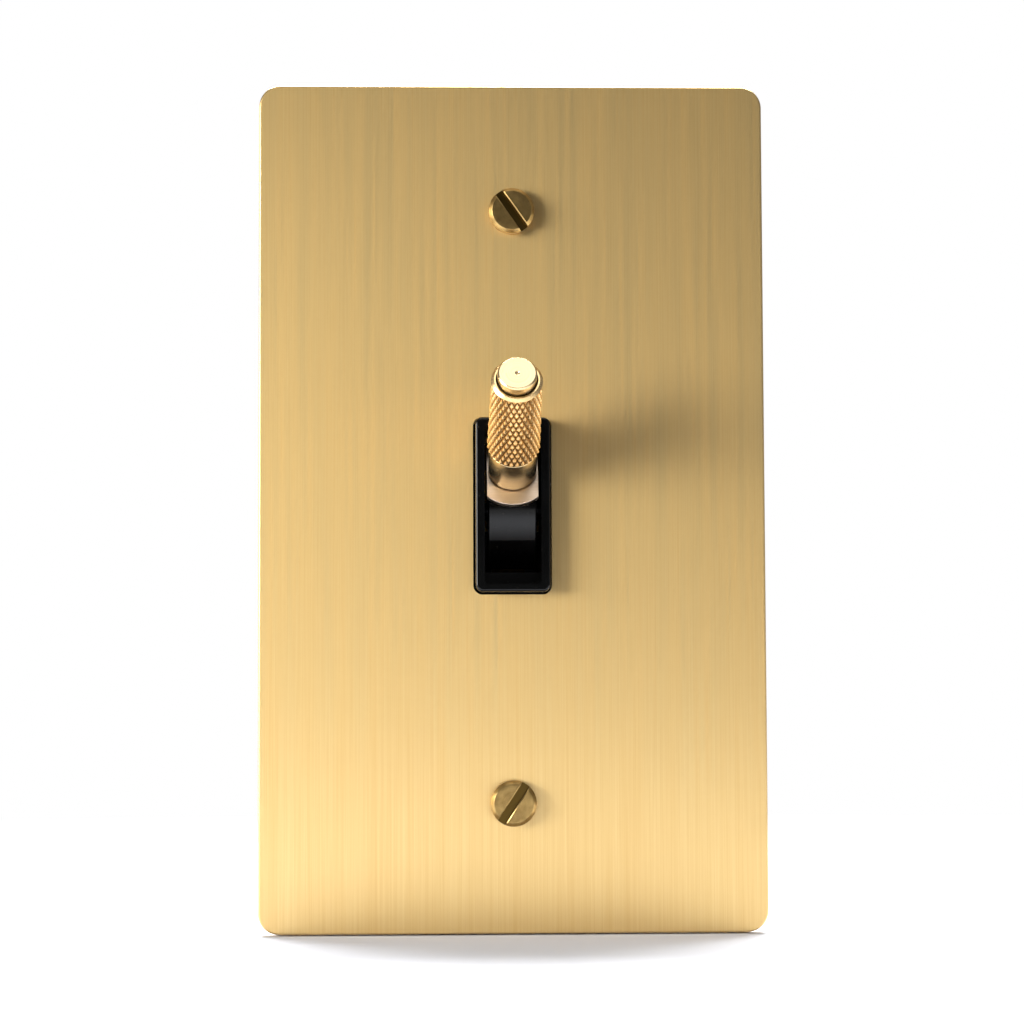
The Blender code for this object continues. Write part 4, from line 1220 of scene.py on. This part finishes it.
@dataclass
class SwitchBody:
    """The black body: collar and front moulding, rear cup, and the rivets that close it on the strap."""

    collar: Pair = (0.01045, 0.0244)
    collar_corner: float = 0.001
    collar_edge: float = 0.00035
    slot: Pair = (0.0079, 0.0222)
    slot_corner: float = 0.0006
    slot_lip: float = 0.0003
    slot_floor: float = 0.0025
    pocket_r: float = 0.0098
    moulded_edge: float = 0.0003
    back: float = 0.027
    floor: float = 0.025
    back_edge: float = 0.0008
    rivet_head_r: float = 0.0022

    def build(self) -> None:
        """Make the three groups of pieces."""
        self.build_front()
        self.build_rear()
        self.build_rivets()

    def rivet_holes(self, span: Pair) -> list[Solid]:
        """Four cutters for the rivets through a moulding."""
        spots = [(x, z) for x in (-RIVET_AT[0], RIVET_AT[0]) for z in (-RIVET_AT[1], RIVET_AT[1])]
        return [rod("rivet_hole", RIVET_R + GAP, span, Matrix.Translation((x, 0, z)), 24) for x, z in spots]

    def build_front(self) -> None:
        """The collar that shows through the plate, with the toggle's pocket and bearings behind it."""
        edge = self.moulded_edge
        rear = [(2 * BODY_SPLIT - y, inset) for y, inset in reversed(round_edge(BODY_SPLIT, edge, 3))]
        front = slab("collar_moulding", BODY_SIZE, BODY_CORNER, round_edge(BODY_FRONT, edge, 3) + rear)
        neck = round_edge(COLLAR_FRONT, self.collar_edge, 8) + [(BODY_FRONT + MM, 0.0)]
        front.join(slab("collar", self.collar, self.collar_corner, neck))
        mouth = round_mouth(COLLAR_FRONT, self.slot_lip, 6) + [(self.slot_floor, 0.0)]
        front.cut(slab("lever_slot", self.slot, self.slot_corner, mouth))
        half = SLOT_HALF_WIDTH - 0.00001
        pivot = Matrix.Translation((0, PIVOT_Y, 0)) @ ALONG_X
        front.cut(rod("skirt_pocket", self.pocket_r, (-half, half), pivot, 128))
        low, high = (-half, PIVOT_Y, -self.pocket_r), (half, BODY_SPLIT + MM, self.pocket_r)
        front.cut(box("pocket_back", low, high))
        bearing, reach = PIN_HOLE_R, PIN_HOLE_HALF
        front.cut(rod("pin_bearing", bearing, (-reach, reach), pivot, 32))
        front.cut(box("pin_entry", (-reach, PIVOT_Y, -bearing), (reach, BODY_SPLIT + MM, bearing)))
        front.cut(*self.rivet_holes((0.001, BODY_SPLIT + MM)))
        front.dress(GLOSS_BLACK, "base", "black_plastic", "front_housing")

    def build_rear(self) -> None:
        """The cup behind, with its cavity, shelves, terminal slots and wells."""
        start = BODY_SPLIT + GAP
        rear = [(2 * self.back - y, inset) for y, inset in reversed(round_edge(self.back, self.back_edge, 6))]
        lip = round_edge(start, 0.0002, 2)
        cup = slab("rear_cup", BODY_SIZE, BODY_CORNER, lip + rear)
        mouth, root = start - MM, self.floor + 0.0005
        cup.cut(box("cavity_wide", (-0.0109, mouth, -0.0186), (0.0109, self.floor, 0.0186)))
        cup.cut(box("cavity_tall", (-0.0068, mouth, -0.0236), (0.0068, self.floor, 0.0236)))
        for low_x in (-0.008, 0.005):
            cup.join(box("pin_post", (low_x, PIVOT_Y + PIN_HOLE_R, -MM), (low_x + 0.003, root, MM)))
        load_shelf, line_shelf = LOAD_PLATE_Y + SHEET + GAP, LINE_PLATE_Y + SHEET + GAP
        cup.join(box("load_shelf", (-0.004, load_shelf, -0.0155), (0.0115, root, -0.0085)))
        cup.join(box("line_shelf", (-0.004, line_shelf, -0.0025), (0.0038, root, 0.0155)))
        at = Matrix.Translation((0, 0, -TERMINAL_Z))
        cup.cut(rod("contact_recess", 0.0016, (load_shelf - GAP, load_shelf + MM), at))
        wall, half = (0.0105, BODY_SIZE[0] / 2 + GAP), 0.003 + GAP
        for plate_y, z in ((LOAD_PLATE_Y, -TERMINAL_Z), (LINE_PLATE_Y, TERMINAL_Z)):
            low = (wall[0], plate_y - GAP, z - half)
            cup.cut(box("terminal_exit", low, (wall[1], plate_y + SHEET + GAP, z + half)))
            well = Matrix.Translation((0, TERMINAL_SCREW_Y, z)) @ ALONG_X
            cup.cut(rod("screw_well", THREAD_R + 0.0005, wall, well))
        cup.cut(*self.rivet_holes((mouth, self.back + MM)))
        cup.dress(MATT_BLACK, "base", "housing_plastic", "rear_housing")

    def build_rivets(self) -> None:
        """Four rivets, sunk in the strap at the front and headed over at the back."""
        front, back = 0.00035, self.back + GAP
        corners = [
            (front, 0, 0),
            (front, self.rivet_head_r, 0.0001),
            (front + 0.0006, self.rivet_head_r, 0),
            (front + 0.0006, RIVET_R, 0),
            (back, RIVET_R, 0),
            (back, self.rivet_head_r, 0),
            (back + 0.0003, self.rivet_head_r, 0.0002),
            (back + 0.0008, self.rivet_head_r * 0.55, 0.0003),
            (back + 0.0007, 0, 0),
        ]
        rivets = lathe("housing_rivets", filleted(corners), 36)
        sizes = {"Width": 2 * RIVET_AT[0], "Height": 2 * RIVET_AT[1], "Material": ZINC_STEEL.material()}
        nodes = [f"housing_rivet_{side.name.lower()}_{edge}" for side in Side for edge in ("left", "right")]
        run_tree(rivets, FourCornersTree().tree, sizes).dress(ZINC_STEEL, "base", "zinc_steel", *nodes)


@dataclass
class Rocker:
    """The black rocker: curved skirt that closes the slot, web, hub and the plunger's hollow tail."""

    skirt_r: float = 0.0093
    wall: float = 0.002
    half_width: float = 0.00345
    half_angle: float = radians(98)
    edge: float = 0.00028

    def build(self) -> None:
        """Join the rocker's parts, bore them and dress the result."""
        count = 96
        turns = [self.half_angle * (2 * i / count - 1) for i in range(count + 1)]
        inner_r = self.skirt_r - self.wall
        outline = [(-self.skirt_r * cos(a), self.skirt_r * sin(a)) for a in turns]
        outline += [(-inner_r * cos(a), inner_r * sin(a)) for a in reversed(turns)]
        rocker = prism_x("toggle_skirt", outline, self.half_width).soften(self.edge, 4, 50)
        half, front = self.half_width, self.skirt_r - self.wall / 2
        rocker.join(box("web", (-half + 0.0002, -front, -0.0028), (half - 0.0002, 0, 0.0028)))
        rocker.join(rod("hub", 0.0028, (-half + 0.0001, half - 0.0001), ALONG_X, 64))
        rocker.join(rod("tail", 0.0023, (0, 0.010)))
        rocker.cut(box("lever_seat", (-0.005, -0.0105, -0.004), (0.005, -LEVER_SEAT_AT, 0.004)))
        rocker.cut(rod("stud_hole", LEVER_STUD_HOLE_R, (-0.0096, -0.0047), HERE, 32))
        rocker.cut(rod("pin_hole", PIN_HOLE_R, (-0.005, 0.005), ALONG_X, 32))
        rocker.cut(rod("plunger_bore", 0.0016, (0.0034, 0.0103), HERE, 32))
        rocker.place(LEVER).dress(GLOSS_BLACK, "toggle", "black_plastic", "toggle_rocker", angle=40)


@dataclass
class Lever:
    """The brass lever: pale flange with two flats, turned stem with its tip, and the knurled sleeve."""

    flange_front: float = 0.01043
    flange_back: float = 0.0096
    flange_r: float = 0.00555
    flange_width: float = 0.0072
    boss_r: float = 0.0025
    stem_r: float = 0.0034
    core_r: float = 0.00267
    tip_at: float = 0.03465
    grip_from: float = 0.0169
    grip_to: float = 0.0331
    grip_foot_r: float = 0.00375
    grip_top_r: float = 0.0035
    grip_foot_chamfer: float = 0.00015
    grip_top_chamfer: float = 0.0004
    knurl_count: int = 28
    knurl_lead: float = 0.00215
    knurl_depth: float = 0.0003
    knurl_fade: float = 0.0003
    knurl_cell: int = 11

    def build(self) -> None:
        """Make the three pieces."""
        self.build_flange()
        self.build_stem()
        self.build_grip()

    def build_flange(self) -> None:
        """Disc with two flats and the boss that seats on the rocker."""
        front, back = -self.flange_front, -self.flange_back
        corners = [
            (front, 0, 0),
            (front, self.flange_r, 0.00008),
            (back, self.flange_r, 0.00008),
            (back, self.boss_r, 0),
            (-LEVER_SEAT_AT - GAP, self.boss_r, 0),
            (-LEVER_SEAT_AT - GAP, 0, 0),
        ]
        flange = lathe("lever_foot_flange", filleted(corners, 3), 128)
        for low, high in ((self.flange_width / 2, 0.007), (-0.007, -self.flange_width / 2)):
            flange.cut(box("flat", (low, -0.011, -0.007), (high, -LEVER_SEAT_AT, 0.007)))
        flange.cut(rod("stud_hole", LEVER_STUD_HOLE_R, (-0.011, -0.008), HERE, 32))
        flange.soften(0.00004, 1, 60).place(LEVER).face_grain()
        flange.dress(PALE_BRASS, "toggle", "pale_brass", "lever_flange")

    def build_stem(self) -> None:
        """Turned foot, core and tip, with the lathe centre's dimple in the tip."""
        foot, shoulder = -self.flange_front - GAP, -self.grip_from + GAP
        rings = [(-self.tip_at, self.core_r * i / 8) for i in range(2, 8)]
        corners = [
            (-self.tip_at, self.core_r * 7 / 8, 0),
            (-self.tip_at, self.core_r - 0.00022, 0.0001),
            (-self.tip_at + 0.00022, self.core_r, 0.0001),
            (shoulder, self.core_r, 0),
            (shoulder, self.stem_r, 0.0001),
            (foot, self.stem_r, 0.00015),
            (foot, 0, 0),
        ]
        dimple = [(-self.tip_at + 0.00028, 0), (-self.tip_at + 0.0001, 0.0002), (-self.tip_at, 0.00034)]
        stem = lathe("lever_turned_stem", dimple + rings + filleted(corners, 4)[1:], 96)
        stem.cut(rod("stud_bore", LEVER_STUD_HOLE_R, (-0.0143, foot + MM), HERE, 32))
        stem.place(LEVER).turned_grain(LEVER).dress(TURNED_BRASS, "toggle", "turned_brass", "lever_stem")

    def build_grip(self) -> None:
        """Sleeve with a diamond knurl between its chamfers, a little slimmer at the top."""
        bore = self.core_r + 0.0002
        top, foot = -self.grip_to + self.grip_top_chamfer, -self.grip_from - self.grip_foot_chamfer
        slope = (self.grip_foot_r - self.grip_top_r) / (foot - top)
        steps = even(top, foot, self.knurl_lead / self.knurl_cell / 2)
        side = [(y, self.grip_top_r + slope * (y - top)) for y in steps]
        chamfer = [
            (-self.grip_to, bore, 0.0),
            (-self.grip_to, self.grip_top_r - self.grip_top_chamfer, 0.00006),
            (top, self.grip_top_r, 0.0),
        ]
        end = [(-self.grip_from, self.grip_foot_r - self.grip_foot_chamfer), (-self.grip_from, bore)]
        inside = [(y, bore) for y in even(-self.grip_from, -self.grip_to, 0.004)[1:-1]]
        profile = filleted(chamfer, 3)[:-1] + side + end + inside
        grip = lathe("lever_knurled_sleeve", profile, self.knurl_count * self.knurl_cell, closed=True)
        sizes = {
            "Outside of": self.grip_top_r - self.grip_top_chamfer / 2,
            "Depth": self.knurl_depth,
            "From": top,
            "To": foot + self.knurl_fade,
            "Fade": self.knurl_fade,
            "Around": float(self.knurl_count),
            "Lead": self.knurl_lead,
            "Material": KNURLED_BRASS.material(),
        }
        run_tree(grip, KnurlTree().tree, sizes).place(LEVER)
        grip.dress(KNURLED_BRASS, "toggle", "turned_brass", "knurled_grip", angle=60, weighted=False)


@dataclass
class StrapAndTerminals:
    """What shows behind the plate besides the body: strap, terminals and ground screw."""

    thread: ThreadTree
    pressed_edge: float = 0.00015
    head_r: float = 0.0033
    head_high: float = 0.0018
    ground: Pair = (0.010, -0.042)
    ground_seat: float = 0.0033
    ground_head_r: float = 0.0032
    ground_head_high: float = 0.002

    def build(self) -> None:
        """Make each piece in turn."""
        edge = self.pressed_edge
        strap = refined("mounting_strap", "pressed_strap", edge)
        strap.dress(ZINC_STEEL, "base", "zinc_steel", "mounting_strap")
        for name, z in (("load", -TERMINAL_Z), ("line", TERMINAL_Z)):
            strip = refined(f"{name}_terminal", f"{name}_strip", 0.0001)
            strip.dress(STRIP_BRASS, "base", "strip_brass", f"{name}_terminal")
            plate = refined(f"{name}_clamp_plate", f"{name}_wire_clamp", 0.00015)
            plate.dress(ZINC_STEEL, "base", "zinc_steel", f"{name}_clamp_plate")
            at = Matrix.Translation((0, TERMINAL_SCREW_Y, z)) @ ALONG_X
            seat = BODY_SIZE[0] / 2 + 2 * SHEET + 3 * GAP
            self.build_screw(
                f"{name}_terminal_screw", at, seat, 0.0117, self.head_r, self.head_high, STRIP_BRASS
            )
        washer = refined("ground_washer", "ground_clamp_washer", 0.00015)
        washer.dress(ZINC_STEEL, "base", "zinc_steel", "ground_washer")
        at = Matrix.Translation((self.ground[0], 0, self.ground[1]))
        self.build_screw(
            "ground_screw",
            at,
            self.ground_seat,
            0.0005,
            self.ground_head_r,
            self.ground_head_high,
            GREEN_ZINC,
        )

    def build_screw(
        self, node: str, at: Matrix, seat: float, start: float, radius: float, high: float, finish: Finish
    ) -> None:
        """A slotted pan-head screw whose head faces along the place's +Y.

        Args:
            node: The CAD node that it stands for.
            at: The screw's axis.
            seat: Where the head begins.
            start: Where the thread's far end is.
            radius: The head's radius.
            high: The head's height.
            finish: Its material.
        """
        slot = "green_steel" if finish is GREEN_ZINC else "strip_brass"
        top = seat + high
        corners = [
            (seat - 0.0003, 0, 0),
            (seat - 0.0003, THREAD_R * 0.75, 0),
            (seat, THREAD_R * 0.75, 0),
            (seat, radius, 0.0001),
            (top - 0.0006, radius, 0.0005),
            (top, radius - 0.0009, 0.0003),
            (top, 0, 0),
        ]
        head = lathe(f"{node}_head", filleted(corners, 5), 64)
        turn = Matrix.Rotation(radians(20), 4, "Y")
        head.cut(box("slot", (-0.005, top - 0.0009, -0.00055), (0.005, top + MM, 0.00055), turn))
        head.soften(0.00005, 1, 50).place(at).dress(finish, "base", slot, node)
        shank = ThreadedShank(self.thread, start, seat - 0.0001, point=0.0002)
        shank.build(f"{node}_thread", finish, at).dress(finish, "base", slot, node, angle=50, weighted=False)


@dataclass
class InnerWorks:
    """The pieces inside the body, which keep their CAD shape and get their finishes."""

    finishes: tuple[tuple[str, Finish], ...] = (
        ("pivot_pin", SHADE_DARK_STEEL),
        ("lever_stud", ZINC_STEEL),
        ("plunger_spring", SPRING_STEEL),
        ("contact_plunger", ACETAL),
        ("contact_seesaw", SHADE_DARK_BRONZE),
        ("moving_contact", SILVER_ALLOY),
        ("fixed_contact", SILVER_ALLOY),
    )

    def build(self) -> None:
        """Put each finish in its node's material slot."""
        for node, finish in self.finishes:
            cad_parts[node].material_slots[0].material = finish.material()
            log.info("%s: CAD shape, %s", node, finish.name)


# ---------------------------------------------------------------- studio


@dataclass(frozen=True)
class Softbox:
    """One soft lamp."""

    name: str
    place: Triple
    aim: Triple
    size: Pair
    power: float

    def hang(self) -> None:
        """Add the lamp to the scene."""
        data = bpy.data.lights.new(self.name, "AREA")
        data.shape = "RECTANGLE"
        data.size, data.size_y = self.size
        data.energy = self.power
        lamp = bpy.data.objects.new(self.name, data)
        lamp.location = self.place
        towards = Vector(self.aim) - Vector(self.place)
        lamp.rotation_euler = towards.to_track_quat("-Z", "Y").to_euler()
        lamp.visible_camera = False
        bpy.context.scene.collection.objects.link(lamp)


@dataclass
class Studio:
    """Pale floor, soft lamps, white surroundings and the camera."""

    floor_drop: float = 0.0002
    floor_half: float = 1.5
    fade: Pair = (0.15, 0.45)
    pale: str = "#DCDEE4"
    surround: str = "#8C8C8C"
    dark_front: str = "#4A4A4A"
    camera_place: Triple = (-0.0137, -0.4023, -0.0281)
    camera_turn: Triple = (93.896, 0.218, -1.942)
    lens: float = 100.1
    lamps: tuple[Softbox, ...] = (
        Softbox("key_softbox", (-0.46, -0.30, 0.05), (0, 0, 0), (0.26, 0.20), 1.9),
        Softbox("side_softbox", (-0.70, -0.35, 0.10), (0, 0, 0), (0.5, 0.5), 3.4),
        Softbox("front_softbox", (0.03, -0.34, 0.66), (0, 0, 0.01), (0.6, 0.4), 1.4),
        Softbox("rear_softbox", (0.0, 0.30, 0.6), (0, 0, -0.06), (0.6, 0.3), 18.0),
    )

    def build(self) -> None:
        """Set up everything round the object."""
        self.build_floor()
        self.build_world()
        for lamp in self.lamps:
            lamp.hang()
        data = bpy.data.cameras.new("camera")
        data.lens = self.lens
        data.clip_start, data.clip_end = 0.01, 20.0
        camera = bpy.data.objects.new("camera", data)
        camera.location = self.camera_place
        camera.rotation_euler = [radians(a) for a in self.camera_turn]
        bpy.context.scene.collection.objects.link(camera)
        bpy.context.scene.camera = camera
        bpy.context.scene.view_settings.view_transform = "Standard"
        log.info("studio: %d lamps", len(self.lamps))

    def build_floor(self) -> None:
        """A pale matt floor that fades into the white surroundings."""
        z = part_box("wall_plate")[0].z - self.floor_drop
        mesh = bpy.data.meshes.new("floor")
        half = self.floor_half
        spots = ((-half, -half), (half, -half), (half, half), (-half, half))
        mesh.from_pydata([(x, y, z) for x, y in spots], [], [(0, 1, 2, 3)])
        floor = bpy.data.objects.new("floor", mesh)
        bpy.context.scene.collection.objects.link(floor)
        made = bpy.data.materials.new("matt white floor")
        made.use_nodes = True
        tree = made.node_tree
        shader = tree.nodes["Principled BSDF"]
        shader.inputs["Base Color"].default_value = srgb(self.pale)
        shader.inputs["Roughness"].default_value = 0.9
        shader.inputs["Specular IOR Level"].default_value = 0.0
        place = add_node(tree, "ShaderNodeTexCoord")
        away = add_node(tree, "ShaderNodeVectorMath", {"operation": "LENGTH"}, {0: place.outputs["Object"]})
        share = ramp(tree, away.outputs["Value"], self.fade, smooth=True)
        glow = add_node(tree, "ShaderNodeEmission", None, {"Color": (1, 1, 1, 1), "Strength": 1.0})
        layers = {0: share, 1: shader.outputs[0], 2: glow.outputs[0]}
        mixed = add_node(tree, "ShaderNodeMixShader", None, layers)
        tree.links.new(mixed.outputs[0], tree.nodes["Material Output"].inputs["Surface"])
        mesh.materials.append(made)

    def build_world(self) -> None:
        """White to look at, and dim in reflections, most of all in front."""
        world = bpy.data.worlds.new("studio")
        bpy.context.scene.world = world
        world.use_nodes = True
        tree = world.node_tree
        tree.nodes.clear()
        white = add_node(tree, "ShaderNodeBackground", None, {"Color": (1, 1, 1, 1), "Strength": 1.0})
        toward = add_node(tree, "ShaderNodeTexCoord").outputs["Generated"]
        depth = add_node(tree, "ShaderNodeSeparateXYZ", None, {"Vector": toward}).outputs["Y"]
        tone = blend(tree, ramp(tree, depth, (-0.95, -0.6)), srgb(self.dark_front), srgb(self.surround))
        dim = add_node(tree, "ShaderNodeBackground", None, {"Color": tone, "Strength": 1.0})
        ray = add_node(tree, "ShaderNodeLightPath").outputs["Is Camera Ray"]
        mixed = add_node(tree, "ShaderNodeMixShader", None, {0: ray, 1: dim.outputs[0], 2: white.outputs[0]})
        add_node(tree, "ShaderNodeOutputWorld", None, {"Surface": mixed.outputs[0]})


def main() -> None:
    """Build the switch from its classes, in order."""
    logging.basicConfig(level=logging.INFO, format="%(name)s: %(message)s")
    thread = ThreadTree()
    CoverPlate().build()
    CheeseHeadScrew(Side.UPPER, radians(55), thread).build()
    CheeseHeadScrew(Side.LOWER, radians(-57), thread).build()
    SwitchBody().build()
    Rocker().build()
    Lever().build()
    for side in Side:
        StudSet(side, thread).build()
    StrapAndTerminals(thread).build()
    InnerWorks().build()
    Studio().build()


if __name__ == "__main__":
    main()
